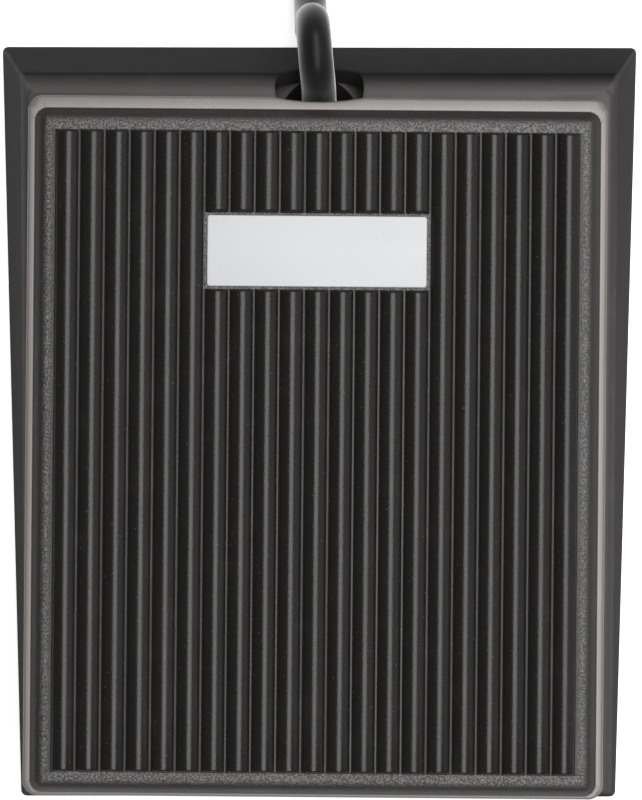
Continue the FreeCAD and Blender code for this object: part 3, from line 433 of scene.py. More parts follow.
@dataclass(frozen=True)
class PlatedMetal:
    """Rolled, turned or plated metal, with fine marks along one way, smears and small pits."""

    name: str
    colour: Colour
    roughness: float
    marks: Point = (40.0, 4000.0, 4000.0)
    tarnish: Colour = (0.09, 0.075, 0.06)
    tarnished: float = 0.15
    lined: float = 0.25
    smeared: float = 0.22
    mark_depth: float = 0.006 * MM
    edge: float = 0.12 * MM

    def material(self) -> bpy.types.Material:
        """Return the finish as a material.

        Returns:
            The material.
        """
        shader = Shader(self.name)
        place = shader.place()
        lines = shader.noise(shader.place(scale=self.marks), 1.0, 3.0, 0.6)
        smears = shader.noise(place, 120.0, 4.0, 0.6, 0.3)
        pits = shader.noise(place, 2200.0, 2.0, 0.5).over(0.72, 0.03)
        spots = smears.over(0.66, 0.12) * self.tarnished
        base = shader.blend(lines * self.lined, self.colour, times(self.colour, 0.7))
        base = shader.blend(spots, base, self.tarnish)
        rough = self.roughness + (smears - 0.5) * self.smeared + (lines - 0.5) * 0.12 + pits * 0.2
        return shader.finish({
            "Base Color": base, "Metallic": 1.0, "Roughness": rough.clamped(),
            "Normal": shader.bump(lines * 0.6 - pits, self.mark_depth, self.edge)})


@dataclass(frozen=True)
class SilverLabel:
    """The label's silvery sheet: fine marks across it and a soft sheen."""

    name: str = "label silver"
    colour: Colour = tone(208, 209, 211)
    lined: Colour = tone(196, 197, 200)
    speck: Colour = tone(120, 118, 116)
    roughness: float = 0.5
    metallic: float = 0.05
    marks: Point = (30.0, 5200.0, 5200.0)
    mark_depth: float = 0.004 * MM
    edge: float = 0.1 * MM

    def material(self) -> bpy.types.Material:
        """Return the finish as a material.

        Returns:
            The material.
        """
        shader = Shader(self.name)
        lines = shader.noise(shader.place(scale=self.marks), 1.0, 3.0, 0.6)
        clouds = shader.noise(shader.place(), 70.0, 3.0, 0.5)
        specks = shader.noise(shader.place(), 3000.0, 1.0, 0.5).over(0.74, 0.02)
        base = shader.blend(lines * 0.35 + clouds * 0.25, self.colour, self.lined)
        base = shader.blend(specks * 0.3, base, self.speck)
        rough = self.roughness + (clouds - 0.5) * 0.15 + (lines - 0.5) * 0.1
        return shader.finish({
            "Base Color": base, "Metallic": self.metallic, "Roughness": rough.clamped(),
            "Normal": shader.bump(lines, self.mark_depth, self.edge)})


@dataclass(frozen=True)
class SoftRubber:
    """Black rubber: matt, faintly mottled, with a bloom of dust."""

    name: str
    colour: Colour = tone(30, 29, 28)
    roughness: float = 0.78
    bloom: Colour = tone(74, 71, 68)
    specular: float = 0.35
    grain_depth: float = 0.02 * MM
    edge: float = 0.15 * MM

    def material(self) -> bpy.types.Material:
        """Return the finish as a material.

        Returns:
            The material.
        """
        shader = Shader(self.name)
        place = shader.place()
        fine = shader.noise(place, 2200.0, 3.0, 0.6)
        bloom = shader.noise(place, 260.0, 4.0, 0.6).over(0.56, 0.12)
        base = shader.blend(fine, times(self.colour, 0.7), times(self.colour, 1.3))
        base = shader.blend(bloom * 0.35, base, self.bloom)
        rough = self.roughness + (fine - 0.5) * 0.2 + bloom * 0.1
        return shader.finish({
            "Base Color": base, "Roughness": rough.clamped(), "Specular IOR Level": self.specular,
            "Normal": shader.bump(fine, self.grain_depth, self.edge)})


@dataclass(frozen=True)
class CordJacket:
    """The cord's soft black jacket: a low sheen, a fine grain and scuffs."""

    name: str = "cord jacket"
    colour: Colour = tone(15, 14, 15)
    scuff: Colour = tone(66, 64, 63)
    roughness: float = 0.36
    specular: float = 0.16
    sheen: float = 1.0
    sheen_roughness: float = 0.42
    grain_depth: float = 0.012 * MM

    def material(self) -> bpy.types.Material:
        """Return the finish as a material.

        Returns:
            The material.
        """
        shader = Shader(self.name)
        place = shader.place()
        fine = shader.noise(place, 1400.0, 3.0, 0.6)
        clouds = shader.noise(place, 130.0, 3.0, 0.55)
        scuffs = shader.noise(place, 420.0, 4.0, 0.65, 0.6).over(0.66, 0.05)
        base = shader.blend(fine * 0.5 + clouds * 0.5, times(self.colour, 0.75), times(self.colour, 1.3))
        base = shader.blend(scuffs * 0.4, base, self.scuff)
        rough = self.roughness + (clouds - 0.5) * 0.18 + scuffs * 0.15 + (fine - 0.5) * 0.1
        return shader.finish({
            "Base Color": base, "Roughness": rough.clamped(), "Specular IOR Level": self.specular,
            "Sheen Weight": self.sheen, "Sheen Roughness": self.sheen_roughness,
            "Normal": shader.bump(fine * 0.7 + clouds * 0.3, self.grain_depth)})


@dataclass(frozen=True)
class WovenStrap:
    """The strap's woven polyester, its weave following the piece's own UV map."""

    name: str = "strap weave"
    colour: Colour = tone(38, 38, 40)
    threads: float = 2400.0
    lay_deg: float = 45.0
    specular: float = 0.25
    sheen: float = 0.2
    thread_depth: float = 0.09 * MM

    def material(self) -> bpy.types.Material:
        """Return the finish as a material.

        Returns:
            The material.
        """
        shader = Shader(self.name)
        place = shader.place("UV")
        turned = math.radians(self.lay_deg)
        ribs = [shader.value("TexWave", {"wave_type": "BANDS", "bands_direction": "X"}, {
            "Vector": shader.place("UV", turn=(0, 0, angle)), "Scale": self.threads / 10,
            "Distortion": 0.3, "Detail": 1.0}, "Fac") for angle in (turned, -turned)]
        weave = ribs[0].math("MAXIMUM", ribs[1])
        fuzz = shader.noise(place, 6000.0, 3.0, 0.6)
        base = shader.blend(weave * 0.8 + fuzz * 0.2, times(self.colour, 0.35), times(self.colour, 1.5))
        return shader.finish({
            "Base Color": base, "Roughness": (0.7 + fuzz * 0.25).clamped(),
            "Specular IOR Level": self.specular, "Sheen Weight": self.sheen,
            "Normal": shader.bump(weave + fuzz * 0.3, self.thread_depth)})


def merged_copy(node: str) -> bpy.types.Mesh:
    """Return a CAD node's mesh with the points that meet joined.

    The points are rounded to a ten-thousandth of a millimetre and each place is kept once.

    Args:
        node: The node.

    Returns:
        The new mesh.
    """
    source = frame["nodes"][node].data
    points = np.empty(len(source.vertices) * 3)
    source.vertices.foreach_get("co", points)
    corners = np.empty(len(source.loops), dtype=np.int32)
    source.loops.foreach_get("vertex_index", corners)
    places, index = np.unique(np.round(points.reshape(-1, 3), 7), axis=0, return_inverse=True)
    faces = index.reshape(-1)[corners].reshape(-1, 3)
    whole = (faces[:, 0] != faces[:, 1]) & (faces[:, 1] != faces[:, 2]) & (faces[:, 2] != faces[:, 0])
    mesh = bpy.data.meshes.new(node + "_skin")
    mesh.from_pydata(places, [], faces[whole])
    mesh.validate()
    return mesh


def linked(name: str, data: bpy.types.ID) -> bpy.types.Object:
    """Return a new object that holds the data, in the scene and at the origin.

    Args:
        name: The object's name.
        data: Its mesh, curve, light or lens.

    Returns:
        The object.
    """
    piece = bpy.data.objects.new(name, data)
    bpy.context.scene.collection.objects.link(piece)
    return piece


def smooth(mesh: bpy.types.Mesh, sharp_deg: float) -> None:
    """Shade a mesh smooth, apart from edges past an angle."""
    mesh.shade_smooth()
    mesh.set_sharp_from_angle(angle=math.radians(sharp_deg))


def closed_grid(name: str, points: np.ndarray, uv: np.ndarray, wrap_rows: bool) -> bpy.types.Object:
    """Make a piece from a grid of points whose columns close on themselves.

    Args:
        name: The piece's name.
        points: Rows by columns by three. The last column joins the first.
        uv: Rows by columns + 1 by two, with the seam's column twice. Rows + 1 where rows close.
        wrap_rows: Whether the last row joins the first too. Otherwise each end row gets a cap.

    Returns:
        The piece, smooth shaded.
    """
    rows, columns = points.shape[:2]
    row = np.arange(rows if wrap_rows else rows - 1)[:, None]
    column = np.arange(columns)[None, :]
    below = (row + 1) % rows
    beside = (column + 1) % columns
    quads = np.stack(np.broadcast_arrays(
        row * columns + column, row * columns + beside,
        below * columns + beside, below * columns + column), axis=-1).reshape(-1, 4)
    corners_uv = np.stack([uv[row, column], uv[row, column + 1],
                           uv[row + 1, column + 1], uv[row + 1, column]], axis=2).reshape(-1, 2)
    faces = [list(quad) for quad in quads]
    if not wrap_rows:
        faces.append(list(range(columns))[::-1])
        faces.append(list(range((rows - 1) * columns, rows * columns)))
        corners_uv = np.concatenate([corners_uv, np.zeros((2 * columns, 2))])
    mesh = bpy.data.meshes.new(name)
    mesh.from_pydata(points.reshape(-1, 3), [], faces)
    mesh.uv_layers.new(name="UVMap").data.foreach_set("uv", corners_uv.astype(np.float32).ravel())
    mesh.shade_smooth()
    return linked(name, mesh)


@dataclass
class Assembly:
    """Pieces of one sub-assembly, and how they are dressed."""

    pieces: list[bpy.types.Object] = field(default_factory=list)

    def keep(self, piece: bpy.types.Object, body: str, slot: str, material: bpy.types.Material,
             *nodes: str) -> bpy.types.Object:
        """Give a new piece its finish, its body and the CAD nodes that it stands for.

        Args:
            piece: The new piece.
            body: The body that it rides on.
            slot: The record's material slot; not used.
            material: The finish.
            nodes: The CAD nodes.

        Returns:
            The piece.
        """
        piece.data.materials.append(material)
        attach(piece, body)
        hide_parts(*nodes)
        self.pieces.append(piece)
        return piece

    def skin(self, node: str, slot: str, material: bpy.types.Material,
             sharp_deg: float = 32.0) -> bpy.types.Object:
        """Stand a smooth-shaded copy of a CAD node in for it.

        Args:
            node: The node.
            slot: The record's material slot.
            material: The finish.
            sharp_deg: The angle past which an edge stays sharp.

        Returns:
            The copy.
        """
        mesh = merged_copy(node)
        smooth(mesh, sharp_deg)
        piece = linked(node + "_skin", mesh)
        weighted = piece.modifiers.new("flat faces stay flat", "WEIGHTED_NORMAL")
        weighted.keep_sharp = True
        body = frame["nodes"][node]["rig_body"]
        return self.keep(piece, body, slot, material, node)

    def skins(self, slot: str, material: bpy.types.Material, *nodes: str) -> None:
        """Stand a copy in for each of some CAD nodes that share a slot and a finish."""
        for node in nodes:
            self.skin(node, slot, material)

    def build(self) -> list[bpy.types.Object]:
        """Make and dress the pieces."""
        raise NotImplementedError


@dataclass
class Casing(Assembly):
    """The casing, its bottom plate, feet and bumpers."""

    # Its matt walls carry painted light on the sides and on faces that turn upward, and painted shade on
    # the rear wall.
    plastic: MouldedPlastic = MouldedPlastic(
        "casing plastic", tone(36, 33, 33), Grain.SPARK, roughness=0.6, specular=0.8, edge=0.5 * MM,
        rubbed=0.25, matt_walls=True)
    steel: PlatedMetal = PlatedMetal("plate zinc", (0.56, 0.56, 0.55), 0.34, tarnished=0.3)
    screw: PlatedMetal = PlatedMetal("screw zinc", (0.60, 0.59, 0.56), 0.28)
    rubber: SoftRubber = SoftRubber("foot rubber")
    bush: SoftRubber = SoftRubber("bush rubber", tone(12, 11, 11), 0.7)
    sharp_deg: float = 40.0
    flat_deg: float = 0.5
    corner: float = 0.9 * MM
    corner_steps: int = 4
    corner_from: tuple[float, float] = (44 * MM, 50 * MM)
    corner_turn_deg: float = 28.6

    def round_corners(self, mesh: bpy.types.Mesh) -> None:
        """Round the four outer corners, where a side wall meets the rear or the front one.

        Triangles in one plane join first, so that each strip of the shoulders runs whole into
        the corner. The corners' edges are the convex ones between a face turned along X and
        one turned along Y, out in the casing's corners.

        Args:
            mesh: The casing's mesh, which is changed.
        """
        work = bmesh.new()
        work.from_mesh(mesh)
        bmesh.ops.dissolve_limit(work, angle_limit=math.radians(self.flat_deg), verts=work.verts,
                                 edges=work.edges)
        least_x, least_y = self.corner_from
        corners = []
        for edge in work.edges:
            if len(edge.link_faces) != 2 or not edge.is_convex:
                continue
            middle = (edge.verts[0].co + edge.verts[1].co) / 2
            one, other = (face.normal for face in edge.link_faces)
            across = max(abs(one.x) - abs(one.y), abs(other.x) - abs(other.y))
            along = max(abs(one.y) - abs(one.x), abs(other.y) - abs(other.x))
            turned = one.angle(other) > math.radians(self.corner_turn_deg)
            outer = abs(middle.x) > least_x and abs(middle.y) > least_y
            if outer and turned and across > 0 and along > 0:
                corners.append(edge)
        bmesh.ops.bevel(work, geom=corners, offset=self.corner, segments=self.corner_steps, profile=0.5,
                        affect="EDGES", clamp_overlap=False)
        work.to_mesh(mesh)
        work.free()
        log.info("%d corner edges rounded", len(corners))
        smooth(mesh, self.sharp_deg)

    def build(self) -> list[bpy.types.Object]:
        """Make and dress the pieces.

        Returns:
            The pieces.
        """
        housing = self.skin("base_housing", "casing_plastic", self.plastic.material(), self.sharp_deg)
        self.round_corners(housing.data)
        self.skins("plate_steel", self.steel.material(), "bottom_plate")
        self.skins("screw_steel", self.screw.material(), "bottom_screws", "bracket_screws", "clamp_screws")
        self.skins("foot_rubber", self.rubber.material(), "rubber_feet", "stop_bumpers")
        self.skins("bush_rubber", self.bush.material(), "cord_bush")
        return self.pieces


@dataclass
class Treadle(Assembly):
    """The treadle and the bare plate on it.

    Its frame has x across, v along it to the rear and w up from its flat face, in millimetres.
    """

    # The pale ledge round the rim is a painted highlight, and pale spots on the flat face are painted
    # glints.
    plastic: MouldedPlastic = MouldedPlastic(
        "treadle plastic", tone(26, 23, 22), Grain.SPARK, roughness=0.45, specular=0.6, edge=0.1 * MM,
        rubbed=0.25, polished=0.15, glazed=0.22, glint_strength=0.5)
    silver: SilverLabel = SilverLabel()
    half_width: float = 46.5
    half_length: float = 56.1
    height: float = 26.6
    shift: float = -8.0
    tilt_deg: float = TREADLE_TILT_DEG
    askew_deg: float = -0.39
    askew_pivot: float = 50.0
    askew_shift: float = -0.2
    corner: float = 2.3
    edge: float = 0.5
    step: float = 1.6
    step_width: float = 2.5
    step_roundness: float = 2.2
    # The polish and its painted highlight: how far in they reach, and their strength at the outline.
    polish_and_highlight_reach: float = 0.08
    polish_and_highlight_rim: float = 0.45
    glint_from: float = 0.6
    ledge_side: float = 1.12
    ledge_rear: float = 1.95
    ledge_front: float = 0.5
    least_ledge: float = 0.05
    platform_corner: float = 2.2
    scallop_radius: float = 38.0
    scallop_depth: float = 0.7
    skirt: float = 6.5
    skirt_wall: float = 1.3
    rim_drop: float = 0.15
    plate: float = 3.2
    arch: float = 8.0
    ribs: int = 21
    pitch: float = 4.0
    land: float = 0.3
    rib_height: float = 0.95
    rib_end: float = 0.6
    rib_front: float = -52.0
    rib_rear: float = 50.5
    pad_ribs: int = 9
    pad_front: float = 25.2
    pad_rear: float = 37.4
    label_half: tuple[float, float] = (17.5, 5.65)
    label_thickness: float = 0.35
    label_sunk: float = 0.05
    label_corner: float = 0.45
    label_rim: float = 0.14
    label_points: int = 48
    sharp_deg: float = 36.0
    inner_sharp_deg: float = 34.0
    room: tuple[float, float] = (44.6, 51.29)
    touching: float = 0.02

    @property
    def rib_half(self) -> float:
        """Half of a rib's width at its foot."""
        return (self.pitch - self.land) / 2

    @property
    def rib_radius(self) -> float:
        """The radius of a rib's round back."""
        return (self.rib_half ** 2 + self.rib_height ** 2) / (2 * self.rib_height)

    def placed(self, x: np.ndarray, v: np.ndarray, w: np.ndarray) -> np.ndarray:
        """Return points of the treadle's frame in the part's frame, in metres.

        The treadle sits a little askew on its pins, so a point first turns about the hinge's
        middle and shifts across, and is then tilted and raised.

        Args:
            x: Across.
            v: Along, to the rear.
            w: Up from the flat face.

        Returns:
            The points, with three parts along the last axis.
        """
        askew = math.radians(self.askew_deg)
        tilt = math.radians(self.tilt_deg)
        along = v - self.askew_pivot
        across = self.askew_shift + x * math.cos(askew) - along * math.sin(askew)
        up = self.askew_pivot + x * math.sin(askew) + along * math.cos(askew)
        return np.stack(np.broadcast_arrays(
            across,
            self.shift + up * math.cos(tilt) - w * math.sin(tilt),
            self.height + up * math.sin(tilt) + w * math.cos(tilt)), axis=-1) * MM

    @staticmethod
    def inward(x: np.ndarray, v: np.ndarray, half_x: float, low_v: float, high_v: float,
               corner: float) -> np.ndarray:
        """Return how far points lie inside a rectangle with rounded corners.

        Past the corner's centre both ways it is the radius less the distance to the centre,
        and elsewhere the distance to the nearer side.

        Args:
            x: Across.
            v: Along.
            half_x: Half of the rectangle's width.
            low_v: Its front side.
            high_v: Its rear side.
            corner: Its corners' radius.

        Returns:
            The distances, below 0 outside.
        """
        qx = np.abs(x) - (half_x - corner)
        qv = np.abs(v - (low_v + high_v) / 2) - ((high_v - low_v) / 2 - corner)
        outside = np.hypot(np.maximum(qx, 0), np.maximum(qv, 0))
        return corner - outside - np.minimum(np.maximum(qx, qv), 0)

    def surface(self, x: np.ndarray, v: np.ndarray) -> tuple[np.ndarray, dict[str, np.ndarray]]:
        """Return the top's height w at points, and the finish's masks, 0 to 1, by name.

        From the outline inward: a quarter round, a flat ledge one step down, a round rise to the
        flat face, steepest at its foot, and the ribs, whose section is a circle's arc. The
        polish, which carries a painted highlight, grows from the outline to the rise's foot, the
        glaze is on the ribs, and the painted glints are on the flat face round them.

        Args:
            x: Across.
            v: Along.

        Returns:
            The heights, and the masks by name.
        """
        inset = self.inward(x, v, self.half_width, -self.half_length, self.half_length, self.corner)
        rounded = np.clip(self.edge - inset, 0, self.edge)
        fall = self.edge - np.sqrt(self.edge ** 2 - rounded ** 2)
        foot = self.inward(x, v, self.half_width - self.ledge_side,
                           -self.half_length + self.ledge_front,
                           self.half_length - self.ledge_rear, self.platform_corner)
        share = foot / self.step_width
        rise = 1 - (1 - np.clip(share, 0, 1)) ** self.step_roundness
        across = np.clip(inset / np.maximum(inset - foot, self.least_ledge), 0, 1)
        # Polish and painted highlight: it runs round the ledge and grows towards its inner side.
        polish_and_highlight = np.where(foot < self.polish_and_highlight_reach, self.polish_and_highlight_rim + (1 - self.polish_and_highlight_rim) * across, 0)

        index = np.clip(np.round(x / self.pitch), -(self.ribs // 2), self.ribs // 2)
        offset = np.abs(x - index * self.pitch)
        back = np.sqrt(np.maximum(self.rib_radius ** 2 - offset ** 2, 0))
        back = np.maximum(back - (self.rib_radius - self.rib_height), 0)
        ends = np.minimum(v - self.rib_front, self.rib_rear - v)
        gap = np.maximum(v - self.pad_rear, self.pad_front - v)
        on_pad = np.abs(index) <= self.pad_ribs // 2
        ends = np.where(on_pad, np.minimum(ends, gap), ends)
        short = 1 - np.clip(ends / self.rib_end, 0, 1)
        back = np.where(offset < self.rib_half, back, 0) * np.sqrt(1 - short ** 2)
        ribbed = (ends > 0) & (np.abs(x) < self.ribs / 2 * self.pitch)
        # Painted glints: on the flat face round the ribs, growing in from the rise.
        painted_glint = np.where(ribbed, 0, np.clip((share - self.glint_from) / (1 - self.glint_from), 0, 1))
        masks = {"polish_and_highlight": polish_and_highlight, "glaze": np.where(back > 0, 1, 0), "painted_glint": painted_glint}
        return self.step * (rise - 1) - fall + back, masks

    def lines(self) -> tuple[np.ndarray, np.ndarray]:
        """Return the grid's lines across and along the treadle, close where the surface turns.

        Returns:
            The places across the treadle, and those along it.
        """
        quarter = np.linspace(0, np.pi / 2, 7)
        rim = self.edge * (1 - np.cos(quarter))
        slope = np.linspace(0, 1, 17) * self.step_width
        angle = math.asin(self.rib_half / self.rib_radius)
        arc = self.rib_radius * np.sin(np.linspace(-angle, angle, 15))
        centres = (np.arange(self.ribs) - self.ribs // 2) * self.pitch
        side = np.concatenate([rim, self.ledge_side + slope])
        across = np.concatenate([(centres[:, None] + arc).ravel(),
                                 side - self.half_width, self.half_width - side])
        end = self.rib_end * (1 - np.cos(quarter))
        inner = np.linspace(self.rib_front + self.rib_end, self.pad_front - self.rib_end, 9)[1:-1]
        along = np.concatenate([
            rim - self.half_length, self.ledge_front + slope - self.half_length,
            self.rib_front + end, inner, self.pad_front - end, self.pad_rear + end,
            self.rib_rear - end, self.half_length - self.ledge_rear - slope, self.half_length - rim])
        return np.unique(np.round(across, 4)), np.unique(np.round(along, 4))

    def outlined(self, x: np.ndarray, v: np.ndarray) -> tuple[np.ndarray, np.ndarray]:
        """Bring the grid's corners onto the outline's corner arcs.

        Args:
            x: Across.
            v: Along.

        Returns:
            Both, with each point past an arc pulled straight onto it.
        """
        qx = np.abs(x) - (self.half_width - self.corner)
        qv = np.abs(v) - (self.half_length - self.corner)
        reach = np.hypot(qx, qv)
        over = (qx > 0) & (qv > 0) & (reach > self.corner)
        pull = np.where(over, self.corner / np.maximum(reach, 1e-9), 1.0)
        x = np.where(over, np.sign(x) * (self.half_width - self.corner + qx * pull), x)
        v = np.where(over, np.sign(v) * (self.half_length - self.corner + qv * pull), v)
        return x, v

    def shell(self) -> bpy.types.Object:
        """Return the treadle's shell: the ribbed top, the skirt round it and the plate's underside.

        The top is a grid of heights. Its border, followed once round, goes down past the rim,
        where the polish and its painted highlight end, to the skirt's foot, in by the wall and up
        to the plate, where one face closes it. At the rear the top's edge is drawn in along a wide
        arc, and the skirt has an arch over the cord.

        Returns:
            The piece.
        """
        across, along = self.lines()
        x, v = self.outlined(*np.meshgrid(across, along))
        w, masks = self.surface(x, v)
        sag = self.scallop_depth - (self.scallop_radius - np.sqrt(self.scallop_radius ** 2 - np.minimum(
            np.abs(x), self.scallop_radius / 2) ** 2))
        near = np.clip((v - self.half_length + self.ledge_rear) / self.ledge_rear, 0, 1)
        v = v - np.maximum(sag, 0) * near
        rows, columns = x.shape
        grid = np.arange(rows * columns).reshape(rows, columns)
        border = np.concatenate([grid[0, :-1], grid[:-1, -1], grid[-1, :0:-1], grid[:0:-1, 0]])
        bx, bv = x.ravel()[border], v.ravel()[border]
        arched = (bv > self.half_length - self.ledge_rear) & (np.abs(bx) < self.arch)
        foot = np.where(arched, -self.plate, -self.skirt)
        inner_x = bx * (1 - self.skirt_wall / self.half_width)
        inner_v = bv * (1 - self.skirt_wall / self.half_length)
        rim = np.full(len(bx), -self.step - self.edge - self.rim_drop)
        roof = np.full(len(bx), -self.plate)
        rings = [(bx, bv, rim), (bx, bv, foot), (inner_x, inner_v, foot), (inner_x, inner_v, roof)]
        points = [self.placed(x, v, w).reshape(-1, 3)] + [self.placed(*ring) for ring in rings]
        top = np.stack([grid[:-1, :-1], grid[:-1, 1:], grid[1:, 1:], grid[1:, :-1]], axis=-1).reshape(-1, 4)
        faces = top.tolist()
        above = border
        for number in range(len(rings)):
            below = rows * columns + number * len(border) + np.arange(len(border))
            faces += np.stack([above, below, np.roll(below, -1), np.roll(above, -1)], axis=-1).tolist()
            above = below
        faces.append(above[::-1].tolist())
        mesh = bpy.data.meshes.new("treadle_shell")
        mesh.from_pydata(np.concatenate(points), [], faces)
        for name, values in masks.items():
            layer = mesh.attributes.new(name, "FLOAT", "POINT")
            layer.data.foreach_set("value", np.concatenate(
                [values.ravel(), np.zeros(len(rings) * len(border))]).astype(np.float32))
        smooth(mesh, self.sharp_deg)
        return linked("treadle_shell", mesh)

    def inner_parts(self) -> bpy.types.Object:
        """Return the hooks, walls, ears and posts under the plate: the CAD node less its skin.

        They are the faces under the plate that lie within the room inside the skirt.

        Returns:
            The piece.
        """
        mesh = merged_copy("treadle_cover")
        work = bmesh.new()
        work.from_mesh(mesh)
        tilt = math.radians(self.tilt_deg)
        upward = Vector((0, -math.sin(tilt), math.cos(tilt)))
        origin = Vector((0, self.shift * MM, self.height * MM))
        room_x, room_y = self.room[0] * MM, self.room[1] * MM
        skin = []
        for face in work.faces:
            middle = face.calc_center_median()
            under = (middle - origin).dot(upward) < -(self.plate + self.touching) * MM
            if not under or abs(middle.x) > room_x or abs(middle.y - origin.y) > room_y:
                skin.append(face)
        bmesh.ops.delete(work, geom=skin, context="FACES")
        work.to_mesh(mesh)
        work.free()
        smooth(mesh, self.inner_sharp_deg)
        return linked("treadle_inner_parts", mesh)

    def label(self) -> bpy.types.Object:
        """Return the label: a sheet with rounded corners and a pressed-down rim.

        Each ring is a rectangle whose corners are arcs; from foot to middle the rings rise, draw
        in over a tiny quarter round and close in one flat face.

        Returns:
            The piece.
        """
        middle = (self.pad_front + self.pad_rear) / 2
        corner, rim = self.label_corner, self.label_rim
        turn = (np.arange(self.label_points) + 0.5) * 2 * np.pi / self.label_points
        side = np.stack([np.cos(turn), np.sin(turn)], axis=-1)
        steps = np.linspace(0, np.pi / 2, 5)
        insets = np.concatenate([[0.0], rim * (1 - np.cos(steps))])
        heights = np.concatenate([[-self.label_sunk], self.label_thickness - rim * (1 - np.sin(steps))])
        centre = np.sign(side) * (np.array(self.label_half) - corner)
        ring = centre + side * (corner - insets[:, None, None])
        points = self.placed(ring[..., 0], middle + ring[..., 1], heights[:, None])
        count = len(turn)
        index = np.arange(len(insets) * count).reshape(len(insets), count)
        lower, upper = index[:-1], index[1:]
        faces = np.stack([lower, np.roll(lower, -1, axis=1), np.roll(upper, -1, axis=1), upper],
                         axis=-1).reshape(-1, 4).tolist()
        faces.append(index[-1].tolist())
        faces.append(index[0][::-1].tolist())
        mesh = bpy.data.meshes.new("label")
        mesh.from_pydata(points.reshape(-1, 3), [], faces)
        smooth(mesh, self.sharp_deg)
        return linked("label_sheet", mesh)

    def build(self) -> list[bpy.types.Object]:
        """Make and dress the pieces.

        Returns:
            The pieces.
        """
        plastic = self.plastic.material()
        self.keep(self.shell(), "treadle", "treadle_plastic", plastic, "treadle_cover")
        self.keep(self.inner_parts(), "treadle", "treadle_plastic", plastic, "treadle_cover")
        self.keep(self.label(), "treadle", "label_aluminium", self.silver.material(), "label_plate")
        return self.pieces


@dataclass
class Hinge(Assembly):
    """The two hinge pins and their clips, and the two return springs."""

    steel: PlatedMetal = PlatedMetal("pin steel", (0.58, 0.57, 0.56), 0.25, (4000.0, 60.0, 60.0))
    spring: PlatedMetal = PlatedMetal("spring wire", (0.50, 0.49, 0.48), 0.3, (900.0, 900.0, 900.0))
    wire: float = 1.0 * MM
    turns: float = 6.0
    seat_turns: float = 0.75
    seat_rise: float = 0.9
    points_per_turn: int = 40
    points_round: int = 10
    travel_deg: float = 3.0
    pivot_y: float = 42.5 * MM

    def coil(self, node: str, material: bpy.types.Material) -> None:
        """Make a return spring.

        A point at turn t and angle a round the wire stands on the helix
        (R cos, R sin, rise t) plus r (cos a) outward plus r (sin a) upward, where the rise
        slows at both ends, over the seat's turns, so that the end turns lie flat.

        Args:
            node: The spring's CAD node.
            material: The finish.
        """
        low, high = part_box(node)
        centre = (low + high) / 2
        radius = (high.x - low.x) / 2 - self.wire / 2
        turn = np.linspace(0, self.turns, int(self.turns * self.points_per_turn) + 1)[:, None]
        seat = self.seat_turns
        part = np.clip((turn - seat) / (self.turns - 2 * seat), 0, 1)
        seated = np.clip(turn, 0, seat) + np.clip(turn - self.turns + seat, 0, seat)
        rise = self.seat_rise * self.wire
        span = high.z - low.z - self.wire - 2 * seat * rise
        height = low.z + self.wire / 2 + seated * rise + span * part
        round_wire = np.linspace(0, 2 * np.pi, self.points_round, endpoint=False)[None, :]
        angle = 2 * np.pi * turn
        reach = radius + self.wire / 2 * np.cos(round_wire)
        points = np.stack([
            centre.x + reach * np.cos(angle),
            centre.y + reach * np.sin(angle),
            height + self.wire / 2 * np.sin(round_wire)], axis=-1)
        rows, columns = points.shape[:2]
        along = np.broadcast_to(np.linspace(0, 1, rows)[:, None], (rows, columns + 1))
        around = np.broadcast_to(np.linspace(0, 1, columns + 1)[None, :], (rows, columns + 1))
        spring = closed_grid(node + "_wire", points, np.stack([along, around], axis=-1), False)
        self.keep(spring, "root", "spring_steel", material, node)
        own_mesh(spring)

    def build(self) -> list[bpy.types.Object]:
        """Make and dress the pieces.

        Returns:
            The pieces.
        """
        self.skins("pin_steel", self.steel.material(), "hinge_pin_right", "hinge_pin_left", "pin_clips")
        spring = self.spring.material()
        for node in ("return_spring_right", "return_spring_left"):
            self.coil(node, spring)
        return self.pieces


@dataclass
class Switch(Assembly):
    """The microswitch on its bracket, and the two cores of the cord that feed it."""

    case: MouldedPlastic = MouldedPlastic("switch case", tone(44, 44, 46), Grain.SATIN, 0.45)
    button: MouldedPlastic = MouldedPlastic("switch button", tone(150, 34, 28), Grain.GLOSS, 0.3)
    steel: PlatedMetal = PlatedMetal("bracket zinc", (0.57, 0.57, 0.56), 0.33, tarnished=0.25)
    brass: PlatedMetal = PlatedMetal("terminal brass", (0.60, 0.42, 0.17), 0.3)
    screw: PlatedMetal = PlatedMetal("switch screw", (0.60, 0.59, 0.56), 0.28)
    red: MouldedPlastic = MouldedPlastic("red core", tone(170, 28, 24), Grain.GLOSS, 0.4)
    white: MouldedPlastic = MouldedPlastic("white core", tone(206, 204, 198), Grain.GLOSS, 0.4)

    def build(self) -> list[bpy.types.Object]:
        """Make and dress the pieces.

        Returns:
            The pieces.
        """
        self.skins("switch_plastic", self.case.material(), "switch_case")
        self.skins("button_plastic", self.button.material(), "switch_button")
        self.skins("plate_steel", self.steel.material(), "switch_lever", "switch_bracket", "cord_clamp")
        self.skins("terminal_brass", self.brass.material(), "switch_terminals")
        self.skins("screw_steel", self.screw.material(), "switch_screws")
        self.skins("core_red", self.red.material(), "signal_wire")
        self.skins("core_white", self.white.material(), "ground_wire")
        return self.pieces


